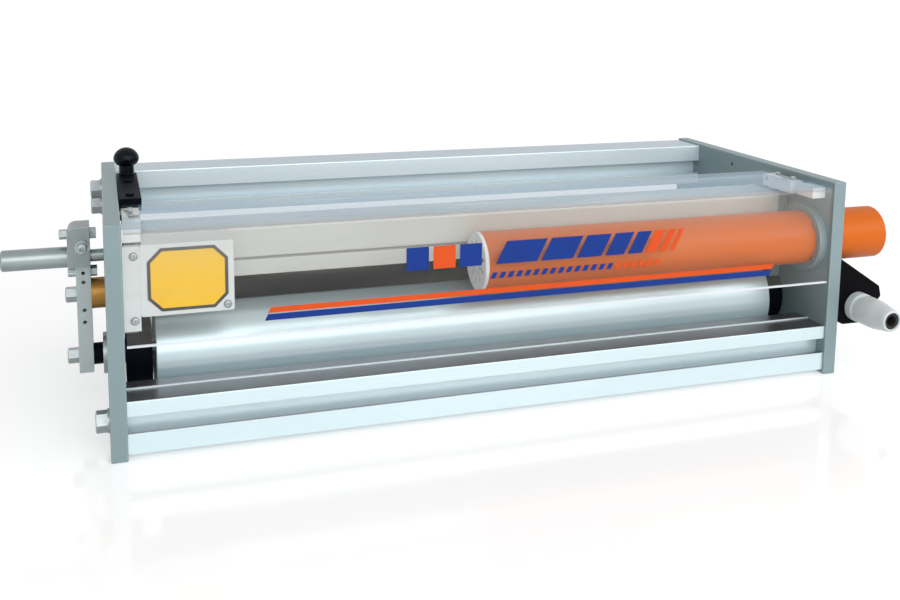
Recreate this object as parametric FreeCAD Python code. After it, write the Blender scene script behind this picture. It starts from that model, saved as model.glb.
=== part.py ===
import FreeCAD, Part
import math
import os

from FreeCAD import Vector

# Corona treatment machine: two side plates joined by two slotted aluminium rails carry a polished
# roller. An electrode carriage swings round the roller's shaft, an exhaust pipe draws off the ozone,
# and a hinged clear cover closes the front. Millimetres, +X along the roller, +Y to the back, +Z up.
# The origin is the middle of the roller's axis.

# Fits and small clearances
FIT = 0.05            # radial clearance of a pin or shaft in its bore
SEAT = 0.3            # gap left between a moving piece and what it rests on
WASHER_T = 2.5
PARALLEL = 1e-6       # sine of the angle below which two directions count as one

# Side plates
SPAN = 990.0          # between the plates' inner faces
PLATE_T = 20.0
PLATE_H = 290.0
PLATE_D = 442.0
PLATE_EDGE = 1.0      # chamfer on the plates' long edges

# Roller and its fixed shaft
ROLLER_D = 134.0
ROLLER_END_ROOM = 39.0      # plate's inner face to the roller's end
ROLLER_WALL = 8.0
ROLLER_FROM_FRONT = 152.0   # axis behind the plates' front edges
ROLLER_HEIGHT = 86.0        # axis above the plates' bottom edges
SHAFT_D = 25.0
SHAFT_BOLT_D = 10.0
SHAFT_BOLT_GRIP = 20.0      # thread held in the shaft's end
BEARING_D = 52.0
BEARING_W = 15.0
CAP_T = 22.0
CAP_INSET = 4.0
CAP_RELIEF = 6.0
ROLLER_EDGE = 1.0     # chamfer on the roller's outer rims

# Slotted rail extrusion, a square section
RAIL = 68.0
RAIL_SETBACK = 4.0    # front rail behind the plates' front edges, back rail ahead of their back edges
RAIL_FOOT = 5.5       # front rail above the plates' bottom edges
RAIL_DROP = 2.5       # back rail below the plates' top edges
RAIL_LOWER_LIP = 27.0
RAIL_MOUTH = 22.0     # width of the slot's mouth
RAIL_LIP_T = 6.0      # thickness of the slot's lips
SLOT_UNDERCUT = 5.0   # how far the slot widens behind each lip
SLOT_DEPTH = 17.0     # from the front face to the slot's floor
RAIL_WALL = 4.0
RAIL_CORNER = 2.0
RAIL_RIB_BACK = 39.0  # drip rib on the top face, behind the front face
RAIL_RIB_W = 3.0
RAIL_RIB_H = 2.0
SCREW_PORT_WALL = 4.0   # round the ports for the end bolts
SCREW_PORT_BACK = 37.0  # ports behind the section's front face
SCREW_PORT_LOW = 32.0
SCREW_PORT_HIGH = 57.0

# Hex bolts that pull the plates on to the rails
BOLT_D = 16.0
BOLT_AF = 24.0
BOLT_HEAD = 14.0
BOLT_GRIP = 40.0      # thread held in the rail
BOLT_WASHER_D = 30.0

# Electrode carriage
ARM_T = 16.0
ARM_GAP = 3.0         # plate to arm
HUB_R = 48.0
ARM_WAIST_DEG = 45.0  # where the arm's web leaves the hub, either side of its top
HUB_TO_ROLLER = 3.5
ARM_TOP = 166.0       # above the roller's axis
BUSH_D = 32.0
HOUSING_FRONT = 46.0  # ahead of the roller's axis
HOUSING_BACK = 24.0   # behind the roller's axis
HOUSING_BOTTOM = 103.0
HOUSING_TOP = 170.0
HOUSING_WALL = 4.0
HOUSING_ROUND = 6.0
HOUSING_GROOVE_Z = 124.0
HOUSING_GROOVE_W = 3.0
HOUSING_GROOVE_D = 1.5
HOUSING_LIP = 4.0     # inward lips at the open bottom
END_PLATE_T = 8.0
AIR_GAP = 1.8         # electrode tip to roller
BLADE_T = 8.0
BLADE_PITCH_DEG = 11.0
BLADE_REACH = 50.0    # radial length of an electrode blade
BLADE_END_GAP = 14.0  # blade end to end plate
INSULATOR_W = 30.0
INSULATOR_COUNT = 5
INSULATOR_BOTTOM = 108.0
SWING_DEG = 35.0

# Lever outside the left plate
LEVER_STANDOFF = 17.0    # plate's outer face to the bar
BAR_T = 18.0
BAR_W = 30.0
BAR_BOTTOM = -20.0
BAR_TOP = 122.0
CARRIAGE_SHAFT_D = 16.0
CARRIAGE_SHAFT_Z = 132.0
SLOT_CLEARANCE = 1.0     # each side of the shaft in the plate's arc slot
CLAMP_FRONT = 9.0        # clamp block beyond the bar, away from the plate
CLAMP_W = 44.0
CLAMP_TOP = 174.0
CLAMP_ROUND = 10.0
CLAMP_SLIT = 2.0
CLAMP_SCREW_Z = 149.0
CLAMP_SCREW_D = 8.0
CAP_HEAD_D = 13.0
CAP_HEAD_H = 10.0
HEX_SOCKET_AF = 6.0
RING_D = 18.0
HANDLE_D = 27.0
HANDLE_LENGTH = 80.0
HANDLE_CHAMFER = 2.0
HANDLE_BORE_DEPTH = 40.0
BRASS_D = 40.0
BRASS_Z = 82.0
BRASS_GRIP = 10.0        # bolt held in the brass bush
PIVOT_SPACER_D = 28.0
FLANGE_D = 54.0
FLANGE_T = 5.0
LEVER_HEAD_AF = 18.0
LEVER_HEAD_T = 14.0
TAPPED_HOLE_D = 5.0
TAPPED_HOLE_DEPTH = 12.0
TAPPED_HOLES_Z = (113.0, 101.0, 64.0, 48.0)
UPPER_SCREW_Z = 162.0
LOWER_SCREW_Z = 112.0
SIDE_NUT_AF = 13.0
SIDE_NUT_T = 8.0

# Exhaust pipe
PIPE_D = 80.0
PIPE_WALL = 3.0
PIPE_FROM_FRONT = 60.0
PIPE_HEIGHT = 197.0
PIPE_INSIDE = 525.0      # from the right plate's inner face to the grille
PIPE_OUTSIDE = 95.0      # beyond the right plate's outer face
SPIGOT_D = 78.0          # outer end, turned down to take a hose
SPIGOT_START = 1.0       # beyond the right plate's outer face
COLLAR_D = 100.0
COLLAR_T = 12.0
COLLAR_FLAT_GAP = 4.0    # the collar's flat back from the swinging arm
COLLAR_SCREWS_D = 90.0
COLLAR_SCREW_D = 5.0
COLLAR_SCREW_DEG = (-100.0, -35.0, 35.0, 100.0)   # from the front, round the pipe
GRILLE_T = 5.0
GRILLE_SLOTS = 10
GRILLE_SLOT_W = 5.0
GRILLE_SLOT_INNER = 12.0
GRILLE_SLOT_OUTER = 30.0

# Clear cover, its hinge and rests
COVER_T = 4.0
COVER_SIDE_GAP = 2.5
COVER_FRONT_INSET = 2.0
COVER_DROP = 6.0         # top of the cover below the plates' top edges
COVER_SKIRT_BOTTOM = 54.0    # above the roller's axis
COVER_BACK = -12.0       # rear edge of the top sheet
COVER_BEND = 9.0         # outer radius of the bend
LUG_W = 22.0
LUG_H = 18.0
LUG_FRONT = -81.0
HINGE_D = 8.0
HINGE_INSET = 9.0        # axis ahead of the cover's rear edge
HINGE_DROP = 10.0        # axis below the cover's top face
HINGE_SEAT = 12.0        # pin's depth in the plate
LUG_SCREW_D = 5.0
LUG_SCREW_HEAD = 9.0
LUG_SCREW_HEAD_T = 1.2
REST_FRONT = -131.0
REST_BACK = -95.0
REST_H = 16.0

# Sliding latch beside the cover's rear edge
LATCH_W = 28.0
LATCH_T = 12.0
LATCH_NOSE = -6.0        # tongue's tip, behind the swing of the cover's corner
LATCH_TO_RAIL = 30.0     # from the latch's rear end to the back rail
LATCH_TRAVEL = 12.0
LATCH_PLATE_GAP = 1.0
LATCH_TONGUE_W = 12.0
LATCH_TONGUE_T = 4.5
LATCH_TONGUE_DROP = 2.5  # tongue above the lug's underside
LATCH_NECK = 6.5         # length of the neck between bar and tongue
POCKET_GAP = 0.5         # all round the tongue in the lug
LATCH_SCREW_FRONT = 14.0     # front screw behind the guide's front end
LATCH_SCREW_REAR = 24.0      # rear screw ahead of the guide's rear end
LATCH_SCREW_D = 6.0
LATCH_SCREW_HEAD = 11.0
LATCH_SCREW_HEAD_T = 3.0
GUIDE_T = 6.0
GUIDE_GAP = 1.0          # guide behind the latch's neck
GUIDE_TO_END = 46.0      # guide's rear end ahead of the latch's
GUIDE_FLANGE = 18.0
KNOB_TO_END = 15.0       # knob's axis ahead of the latch's rear end
KNOB_HEAD_D = 35.0
KNOB_HEAD_H = 26.0
KNOB_NECK_D = 21.0
KNOB_NECK_H = 14.0
KNOB_CHEEK_OUT = 0.93    # the head's underside passes this share of its radius
KNOB_CHEEK_UP = 0.18     # at this share of its height
KNOB_RIBS = 3
KNOB_RIB_D = 1.2
KNOB_STUD_D = 10.0
KNOB_NUT_AF = 17.0
KNOB_NUT_T = 5.0

# White terminal box at the left front
TERMINAL_W = 110.0
TERMINAL_D = 60.0
TERMINAL_BOTTOM = 88.0
TERMINAL_TOP = 176.0
TERMINAL_FROM_FRONT = 12.0
TERMINAL_ROUND = 3.0
TERMINAL_LID_T = 3.0
STRIP_W = 20.0
STRIP_T = 10.0
STRIP_BOTTOM = 71.0
STRIP_TOP = 175.0
STRIP_SCREWS_Z = (84.0, 163.0)
STRIP_SCREW_OUT = 13.0   # from the plate
LID_SCREW_INSET = 8.0    # lid's screw from its lower right corner
LID_SCREW_DEPTH = 12.0
STRIP_SCREW_D = 5.0
STRIP_SCREW_HEAD = 10.0
STRIP_SCREW_HEAD_T = 3.0

# High-voltage inlet box and cable gland outside the right plate
INLET_HEIGHT = 89.0      # top corner at the plate, above the roller's axis
INLET_FOOT = -6.0        # bottom corner at the plate
INLET_REACH = 76.0       # out from the plate
INLET_SHOULDER = 42.0    # height where the sloping roof ends
INLET_NOSE = 26.0
INLET_BELLY_OUT = 38.0
INLET_BELLY_IN = 10.0
INLET_BELLY = -12.0
INLET_D = 70.0
INLET_FRONT_INSET = 2.0
INLET_ROUND = 4.0
INLET_PIPE_GAP = 1.5     # saddle round the exhaust pipe
GLAND_OUT = 34.0         # axis out from the plate
GLAND_Z = 14.0
GLAND_COLLAR_D = 44.0
GLAND_COLLAR_T = 12.0
GLAND_NECK_D = 36.0
GLAND_NECK_T = 8.0
GLAND_NUT_D = 43.0
GLAND_NUT_T = 26.0
GLAND_TIP_D = 31.0
GLAND_CONE = 30.0
GLAND_BORE_D = 15.5
GLAND_SEAL_D = 24.0
GLAND_SEAL_INSET = 2.5   # rubber insert behind the nut's tip
CABLE_ROOM_D = 28.0      # room behind the gland, inside the inlet box
CABLE_ROOM_DEPTH = 30.0

# Small hole for an accessory in the right plate
ACCESSORY_D = 7.0
ACCESSORY_FROM_FRONT = 266.0
ACCESSORY_HEIGHT = 272.0

# Places worked out from the sizes above
INNER = SPAN / 2
OUTER = INNER + PLATE_T
FRONT = -ROLLER_FROM_FRONT
BACK = FRONT + PLATE_D
BASE = -ROLLER_HEIGHT
TOP = BASE + PLATE_H
HALF_ROLLER = INNER - ROLLER_END_ROOM
ARM_OUT = INNER - ARM_GAP
ARM_IN = ARM_OUT - ARM_T
BAR_IN = OUTER + LEVER_STANDOFF
BAR_OUT = BAR_IN + BAR_T
CLAMP_OUT = BAR_OUT + CLAMP_FRONT
COVER_TOP = TOP - COVER_DROP
COVER_UNDER = COVER_TOP - COVER_T
HINGE_Y = COVER_BACK - HINGE_INSET
HINGE_Z = COVER_TOP - HINGE_DROP
PIPE_Y = FRONT + PIPE_FROM_FRONT
PIPE_Z = BASE + PIPE_HEIGHT
PIPE_LEFT_END = INNER - PIPE_INSIDE
LATCH_UNDER = TOP - LATCH_T
LATCH_FRONT = COVER_BACK + LATCH_TRAVEL + POCKET_GAP
LATCH_BACK = BACK - RAIL_SETBACK - RAIL - LATCH_TO_RAIL
GUIDE_FRONT = LATCH_FRONT + LATCH_NECK + GUIDE_GAP
GUIDE_BACK = LATCH_BACK - GUIDE_TO_END
LATCH_SCREWS_Y = (GUIDE_FRONT + LATCH_SCREW_FRONT, GUIDE_BACK - LATCH_SCREW_REAR)
LATCH_OUT = LATCH_PLATE_GAP - INNER
LATCH_IN = LATCH_OUT + LATCH_W
LATCH_X = (LATCH_OUT + LATCH_IN) / 2
GUIDE_TOP = LATCH_UNDER - SEAT
KNOB_Y = LATCH_BACK - KNOB_TO_END
LUG_OUT = INNER - COVER_SIDE_GAP
LUG_IN = LUG_OUT - LUG_W
LUG_X = (LUG_IN + LUG_OUT) / 2
TONGUE_BOTTOM = COVER_UNDER - LUG_H + LATCH_TONGUE_DROP
TONGUE_TOP = TONGUE_BOTTOM + LATCH_TONGUE_T
TERMINAL_LEFT = STRIP_W - INNER
TERMINAL_RIGHT = TERMINAL_LEFT + TERMINAL_W
TERMINAL_FRONT = FRONT + TERMINAL_FROM_FRONT
STRIP_X = STRIP_SCREW_OUT - INNER
LID_SCREW_X = TERMINAL_RIGHT - LID_SCREW_INSET
LID_SCREW_Z = TERMINAL_BOTTOM + LID_SCREW_INSET
LEVER_X = -(BAR_IN + BAR_OUT) / 2
HOUSING_HALF = ARM_IN - END_PLATE_T
BLADE_HALF = HOUSING_HALF - BLADE_END_GAP
INLET_FRONT = FRONT + INLET_FRONT_INSET
GLAND_X = OUTER + GLAND_OUT
GLAND_NECK_END = GLAND_COLLAR_T + GLAND_NECK_T
GLAND_TIP = GLAND_NECK_END + GLAND_NUT_T + GLAND_CONE
LEFT, RIGHT = -1, 1
SIDES = {"left": LEFT, "right": RIGHT}


def block(x0, x1, y0, y1, z0, z1):
    """A box between two values on each axis, in either order."""
    low = Vector(min(x0, x1), min(y0, y1), min(z0, z1))
    return Part.makeBox(abs(x1 - x0), abs(y1 - y0), abs(z1 - z0), low)


def round_x(x0, x1, y, z, diameter):
    """A cylinder along X."""
    start = Vector(min(x0, x1), y, z)
    return Part.makeCylinder(diameter / 2, abs(x1 - x0), start, Vector(1, 0, 0))


def round_y(y0, y1, x, z, diameter):
    """A cylinder along Y."""
    start = Vector(x, min(y0, y1), z)
    return Part.makeCylinder(diameter / 2, abs(y1 - y0), start, Vector(0, 1, 0))


def round_z(z0, z1, x, y, diameter):
    """A cylinder along Z."""
    start = Vector(x, y, min(z0, z1))
    return Part.makeCylinder(diameter / 2, abs(z1 - z0), start, Vector(0, 0, 1))


def hexagon(across_flats, length):
    """A hexagonal prism on the XY plane, along +Z."""
    corner = across_flats / math.sqrt(3)
    ring = [Vector(corner * math.cos(turn), corner * math.sin(turn), 0)
            for turn in (math.radians(60 * step) for step in range(7))]
    return Part.Face(Part.makePolygon(ring)).extrude(Vector(0, 0, length))


def hex_x(x0, x1, y, z, across_flats):
    """A hexagonal prism along X."""
    prism = hexagon(across_flats, abs(x1 - x0))
    prism.rotate(Vector(), Vector(0, 1, 0), 90)
    prism.translate(Vector(min(x0, x1), y, z))
    return prism


def outline_x(points, x0, x1):
    """A YZ outline of straight lines, extruded along X."""
    ring = [Vector(min(x0, x1), y, z) for y, z in points]
    return Part.Face(Part.makePolygon(ring + ring[:1])).extrude(Vector(abs(x1 - x0), 0, 0))


def turned(profile, place, axis):
    """A solid turned from (radius, length) points, set at a place with its length along an axis."""
    ring = [Vector(radius, 0, length) for radius, length in profile]
    face = Part.Face(Part.makePolygon(ring + ring[:1]))
    solid = face.revolve(Vector(), Vector(0, 0, 1), 360)
    solid.Placement = FreeCAD.Placement(place, FreeCAD.Rotation(Vector(0, 0, 1), axis))
    return solid


def long_edges(shape, direction):
    """The straight edges of a shape that run along a direction."""
    straight = [edge for edge in shape.Edges if isinstance(edge.Curve, Part.Line)]
    return [edge for edge in straight if edge.Curve.Direction.cross(direction).Length < PARALLEL]


def group(shapes):
    """Like pieces kept as separate solids in one node."""
    return Part.makeCompound(shapes)


def rail_section():
    """The rail's YZ face, with its front slot to -Y and its drip rib on top, corner at the origin."""
    mouth_low, mouth_high = RAIL_LOWER_LIP, RAIL_LOWER_LIP + RAIL_MOUTH
    outer = block(0, 1, 0, RAIL, 0, RAIL)
    outer = outer.makeFillet(RAIL_CORNER, long_edges(outer, Vector(1, 0, 0)))
    rib = block(0, 1, RAIL_RIB_BACK, RAIL_RIB_BACK + RAIL_RIB_W, RAIL - RAIL_CORNER, RAIL + RAIL_RIB_H)
    mouth = block(0, 1, 0, SLOT_DEPTH, mouth_low, mouth_high)
    undercut = block(0, 1, RAIL_LIP_T, SLOT_DEPTH, mouth_low - SLOT_UNDERCUT, mouth_high + SLOT_UNDERCUT)
    section = outer.fuse(rib).cut(mouth.fuse(undercut))

    floor = SLOT_DEPTH + RAIL_WALL
    hollow = block(0, 1, floor, RAIL - RAIL_WALL, RAIL_WALL, RAIL - RAIL_WALL)
    web = block(0, 1, floor, RAIL - RAIL_WALL, (RAIL - RAIL_WALL) / 2, (RAIL + RAIL_WALL) / 2)
    port_d = BOLT_D + 2 * FIT
    for y, z in rail_ports():
        web = web.fuse(round_x(0, 1, y, z, port_d + 2 * SCREW_PORT_WALL))
    section = section.cut(hollow.cut(web))
    for y, z in rail_ports():
        section = section.cut(round_x(0, 1, y, z, port_d))
    return section.removeSplitter()


def rail_ports():
    """Centres of the rail's two screw ports, in the section's own YZ frame, the low one first."""
    return [(SCREW_PORT_BACK, SCREW_PORT_LOW), (SCREW_PORT_BACK, SCREW_PORT_HIGH)]


def stretch_section(section, length):
    """The unit-long section drawn out to a rail of a given length, centred on X."""
    face = min(section.Faces, key=lambda item: item.CenterOfMass.x)
    rail = face.extrude(Vector(length, 0, 0))
    rail.translate(Vector(-length / 2, 0, 0))
    return rail


def front_rail():
    rail = stretch_section(rail_section(), SPAN)
    rail.translate(Vector(0, FRONT + RAIL_SETBACK, BASE + RAIL_FOOT))
    return rail


def back_rail():
    """The same section turned over, so that its slot still faces the front."""
    rail = stretch_section(rail_section(), SPAN)
    rail = rail.mirror(Vector(), Vector(0, 0, 1))
    rail.translate(Vector(0, BACK - RAIL_SETBACK - RAIL, TOP - RAIL_DROP))
    return rail


def rail_bolt_places():
    """Axes of the end bolts, as (y, z): one in the front rail and two in the back rail."""
    low_y, low_z = rail_ports()[0]
    front = [(FRONT + RAIL_SETBACK + low_y, BASE + RAIL_FOOT + low_z)]
    back = [(BACK - RAIL_SETBACK - RAIL + y, TOP - RAIL_DROP - z) for y, z in rail_ports()]
    return front + back


def rail_bolts():
    """Hex bolts through both plates into the rails' ports."""
    bolts = []
    seat = OUTER + WASHER_T
    for side in (LEFT, RIGHT):
        for y, z in rail_bolt_places():
            shank = round_x(side * (INNER - BOLT_GRIP), side * seat, y, z, BOLT_D)
            head = hex_x(side * seat, side * (seat + BOLT_HEAD), y, z, BOLT_AF)
            bolts.append(shank.fuse(head))
    return group(bolts)


def rail_washers():
    washers = []
    for side in (LEFT, RIGHT):
        x_in, x_out = side * OUTER, side * (OUTER + WASHER_T)
        for y, z in rail_bolt_places():
            disc = round_x(x_in, x_out, y, z, BOLT_WASHER_D)
            washers.append(disc.cut(round_x(x_in, x_out, y, z, BOLT_D + 2 * FIT)))
    return group(washers)


def arc_slot(radius, width, start_deg, end_deg, x0, x1):
    """A slot that follows an arc about the roller's axis, from the top towards the back."""
    def at(distance, degrees):
        turn = math.radians(degrees)
        return Vector(min(x0, x1), distance * math.sin(turn), distance * math.cos(turn))

    middle = (start_deg + end_deg) / 2
    outer, inner = radius + width / 2, radius - width / 2
    end_bulge = math.degrees(width / 2 / radius)
    edges = [
        Part.Arc(at(outer, start_deg), at(outer, middle), at(outer, end_deg)).toShape(),
        Part.Arc(at(outer, end_deg), at(radius, end_deg + end_bulge), at(inner, end_deg)).toShape(),
        Part.Arc(at(inner, end_deg), at(inner, middle), at(inner, start_deg)).toShape(),
        Part.Arc(at(inner, start_deg), at(radius, start_deg - end_bulge), at(outer, start_deg)).toShape(),
    ]
    return Part.Face(Part.Wire(edges)).extrude(Vector(abs(x1 - x0), 0, 0))


def plate_blank(side):
    """A side plate with the holes that both sides share."""
    plate = block(side * INNER, side * OUTER, FRONT, BACK, BASE, TOP)
    rims = long_edges(plate, Vector(0, 0, 1)) + long_edges(plate, Vector(0, 1, 0))
    plate = plate.makeChamfer(PLATE_EDGE, rims)
    for y, z in rail_bolt_places():
        plate = plate.cut(round_x(side * INNER, side * OUTER, y, z, BOLT_D + 2 * FIT))
    plate = plate.cut(round_x(side * INNER, side * OUTER, 0, 0, SHAFT_D + 2 * FIT))
    return plate.cut(round_x(side * INNER, side * (INNER + HINGE_SEAT), HINGE_Y, HINGE_Z, HINGE_D + 2 * FIT))


def left_side_plate():
    slot_width = CARRIAGE_SHAFT_D + 2 * SLOT_CLEARANCE
    spare = math.degrees(SLOT_CLEARANCE / CARRIAGE_SHAFT_Z)
    slot = arc_slot(CARRIAGE_SHAFT_Z, slot_width, -spare, SWING_DEG + spare, -OUTER, -INNER)
    return plate_blank(LEFT).cut(slot)


def right_side_plate():
    plate = plate_blank(RIGHT).cut(round_x(INNER, OUTER, PIPE_Y, PIPE_Z, PIPE_D + 2 * FIT))
    hole_y, hole_z = FRONT + ACCESSORY_FROM_FRONT, BASE + ACCESSORY_HEIGHT
    return plate.cut(round_x(INNER, OUTER, hole_y, hole_z, ACCESSORY_D))


def roller_shell():
    tube = round_x(-HALF_ROLLER, HALF_ROLLER, 0, 0, ROLLER_D)
    tube = tube.cut(round_x(-HALF_ROLLER, HALF_ROLLER, 0, 0, ROLLER_D - 2 * ROLLER_WALL))
    rings = [edge for edge in tube.Edges if isinstance(edge.Curve, Part.Circle)]
    rims = [edge for edge in rings if edge.Curve.Radius > ROLLER_D / 2 - ROLLER_EDGE]
    return tube.makeChamfer(ROLLER_EDGE, rims)


def roller_end_cap(side):
    """A turned cap pressed into the roller's end, with the bearing's seat."""
    out = HALF_ROLLER - CAP_INSET
    rim_in = ROLLER_D / 2 - ROLLER_WALL - FIT
    relief = rim_in - CAP_RELIEF
    hub = BEARING_D / 2 + CAP_RELIEF
    profile = [
        (BEARING_D / 2 + FIT, 0), (rim_in, 0), (rim_in, CAP_T), (relief, CAP_T),
        (relief, CAP_T - CAP_RELIEF), (hub, CAP_T - CAP_RELIEF), (hub, CAP_T), (BEARING_D / 2 + FIT, CAP_T),
    ]
    return turned(profile, Vector(side * (out - CAP_T), 0, 0), Vector(side, 0, 0))


def roller_bearing(side):
    """A sealed ball bearing, kept as one ring that turns on the fixed shaft."""
    out = HALF_ROLLER - CAP_INSET
    ring = round_x(side * (out - BEARING_W), side * out, 0, 0, BEARING_D)
    return ring.cut(round_x(side * (out - BEARING_W), side * out, 0, 0, SHAFT_D + 2 * FIT))


def roller_shaft():
    """The dead shaft, fixed in both plates and carried out to the lever on the left."""
    shaft = round_x(-BAR_OUT, OUTER, 0, 0, SHAFT_D)
    thread_d = SHAFT_BOLT_D + 2 * FIT
    shaft = shaft.cut(round_x(-BAR_OUT, SHAFT_BOLT_GRIP + FIT - BAR_OUT, 0, 0, thread_d))
    return shaft.cut(round_x(OUTER - SHAFT_BOLT_GRIP - FIT, OUTER, 0, 0, thread_d))


def shaft_flanges():
    """Discs that clamp the shaft's ends to the plates' outer faces."""
    flanges = []
    for side, bore in ((LEFT, SHAFT_D + 2 * FIT), (RIGHT, SHAFT_BOLT_D + 2 * FIT)):
        x_in, x_out = side * OUTER, side * (OUTER + FLANGE_T)
        flanges.append(round_x(x_in, x_out, 0, 0, FLANGE_D).cut(round_x(x_in, x_out, 0, 0, bore)))
    return group(flanges)


def shaft_end_bolts():
    """Hex bolts screwed into the two ends of the shaft. The left one leaves the lever free to turn."""
    seat = OUTER + FLANGE_T
    left = hex_x(-BAR_OUT - LEVER_HEAD_T, -BAR_OUT - SEAT, 0, 0, LEVER_HEAD_AF)
    left = left.fuse(round_x(-BAR_OUT - SEAT, -BAR_OUT, 0, 0, SHAFT_D))
    left = left.fuse(round_x(-BAR_OUT, SHAFT_BOLT_GRIP - BAR_OUT, 0, 0, SHAFT_BOLT_D))
    right = hex_x(seat, seat + LEVER_HEAD_T, 0, 0, LEVER_HEAD_AF)
    right = right.fuse(round_x(OUTER - SHAFT_BOLT_GRIP, seat, 0, 0, SHAFT_BOLT_D))
    return group([left, right])


def pivot_spacer():
    """Black spacer on the shaft between the left flange and the lever bar."""
    x_in, x_out = -(OUTER + FLANGE_T), -(BAR_IN - SEAT)
    ring = round_x(x_in, x_out, 0, 0, PIVOT_SPACER_D)
    return ring.cut(round_x(x_in, x_out, 0, 0, SHAFT_D + 2 * FIT))


def electrode_arm(side):
    """End arm of the carriage, a web that stands on the hub and carries the housing."""
    waist = math.radians(ARM_WAIST_DEG)
    foot_y, foot_z = HUB_R * math.sin(waist), HUB_R * math.cos(waist)
    arm = outline_x(
        [(-foot_y, foot_z), (-HOUSING_FRONT, HOUSING_BOTTOM), (-HOUSING_FRONT, ARM_TOP),
         (HOUSING_BACK, ARM_TOP), (HOUSING_BACK, HOUSING_BOTTOM), (foot_y, foot_z), (0, 0)],
        side * ARM_IN, side * ARM_OUT)
    arm = arm.cut(round_x(side * ARM_IN, side * ARM_OUT, 0, 0, 2 * HUB_R))
    if side == LEFT:
        arm = arm.cut(round_x(-ARM_OUT, -ARM_IN, 0, CARRIAGE_SHAFT_Z, CARRIAGE_SHAFT_D + 2 * FIT))
    return arm


def arm_hub(side):
    """Black boss that swings on the roller's shaft, from the plate to the roller's end."""
    x_in, x_out = side * (HALF_ROLLER + HUB_TO_ROLLER), side * ARM_OUT
    return round_x(x_in, x_out, 0, 0, 2 * HUB_R).cut(round_x(x_in, x_out, 0, 0, BUSH_D + 2 * FIT))


def arm_bushes():
    """Bronze bushes that let the arms swing on the roller's shaft."""
    bushes = []
    for side in (LEFT, RIGHT):
        x_in, x_out = side * (HALF_ROLLER + HUB_TO_ROLLER), side * (INNER - SEAT)
        bushes.append(round_x(x_in, x_out, 0, 0, BUSH_D).cut(round_x(x_in, x_out, 0, 0, SHAFT_D + 2 * FIT)))
    return group(bushes)


def housing_outline():
    """Outer YZ outline of the electrode housing."""
    return [(-HOUSING_FRONT, HOUSING_BOTTOM), (-HOUSING_FRONT, HOUSING_TOP),
            (HOUSING_BACK, HOUSING_TOP), (HOUSING_BACK, HOUSING_BOTTOM)]


def electrode_housing():
    """Extruded hood over the electrodes, open below, with lips that hold the insulators."""
    half = HOUSING_HALF
    hood = outline_x(housing_outline(), -half, half)
    top_edges = [edge for edge in long_edges(hood, Vector(1, 0, 0))
                 if edge.CenterOfMass.z > HOUSING_TOP - HOUSING_WALL]
    hood = hood.makeFillet(HOUSING_ROUND, top_edges)
    inside_front, inside_back = HOUSING_WALL - HOUSING_FRONT, HOUSING_BACK - HOUSING_WALL
    hollow = block(-half, half, inside_front, inside_back,
                   HOUSING_BOTTOM + HOUSING_WALL, HOUSING_TOP - HOUSING_WALL)
    mouth = block(-half, half, inside_front + HOUSING_LIP, inside_back - HOUSING_LIP,
                  HOUSING_BOTTOM, HOUSING_BOTTOM + HOUSING_WALL)
    groove = block(-half, half, -HOUSING_FRONT, HOUSING_GROOVE_D - HOUSING_FRONT,
                   HOUSING_GROOVE_Z, HOUSING_GROOVE_Z + HOUSING_GROOVE_W)
    return hood.cut(hollow).cut(mouth).cut(groove)


def housing_end_plate(side):
    return outline_x(housing_outline(), side * HOUSING_HALF, side * ARM_IN)


def electrode_blade(degrees):
    """One blade with a rounded nose that points at the roller's axis."""
    tip = ROLLER_D / 2 + AIR_GAP
    nose = tip + BLADE_T / 2
    body = block(-BLADE_HALF, BLADE_HALF, -BLADE_T / 2, BLADE_T / 2, nose, tip + BLADE_REACH)
    blade = body.fuse(round_x(-BLADE_HALF, BLADE_HALF, 0, nose, BLADE_T)).removeSplitter()
    blade.rotate(Vector(), Vector(1, 0, 0), -degrees)
    return blade


def electrode_blades():
    """Three blades, fanned about the middle of the housing."""
    lean = math.degrees(math.atan2((HOUSING_BACK - HOUSING_FRONT) / 2, HOUSING_BOTTOM))
    return group([electrode_blade(lean + step * BLADE_PITCH_DEG) for step in (-1, 0, 1)])


def electrode_insulators():
    """White blocks that hold the blades inside the housing."""
    first = INSULATOR_W / 2 - BLADE_HALF + BLADE_END_GAP
    pitch = -2 * first / (INSULATOR_COUNT - 1)
    blades = electrode_blades()
    front, back = HOUSING_WALL - HOUSING_FRONT + FIT, HOUSING_BACK - HOUSING_WALL - FIT
    pieces = []
    for step in range(INSULATOR_COUNT):
        x = first + step * pitch
        piece = block(x - INSULATOR_W / 2, x + INSULATOR_W / 2, front, back,
                      INSULATOR_BOTTOM, HOUSING_TOP - HOUSING_WALL - FIT)
        pieces.append(piece.cut(blades))
    return group(pieces)


def lever_bar():
    """Flat bar that turns on the end of the roller's shaft and carries the clamp block."""
    bar = block(-BAR_OUT, -BAR_IN, -BAR_W / 2, BAR_W / 2, BAR_BOTTOM, BAR_TOP)
    bar = bar.cut(round_x(-BAR_OUT, -BAR_IN, 0, 0, SHAFT_D + 2 * FIT))
    bar = bar.cut(round_x(-BAR_OUT, -BAR_IN, 0, BRASS_Z, BOLT_D + 2 * FIT))
    bar = bar.cut(round_x(-BAR_OUT, -BAR_IN, 0, LOWER_SCREW_Z, CLAMP_SCREW_D + 2 * FIT))
    for z in TAPPED_HOLES_Z:
        bar = bar.cut(round_y(-BAR_W / 2, TAPPED_HOLE_DEPTH - BAR_W / 2, LEVER_X, z, TAPPED_HOLE_D))
    return bar


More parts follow.
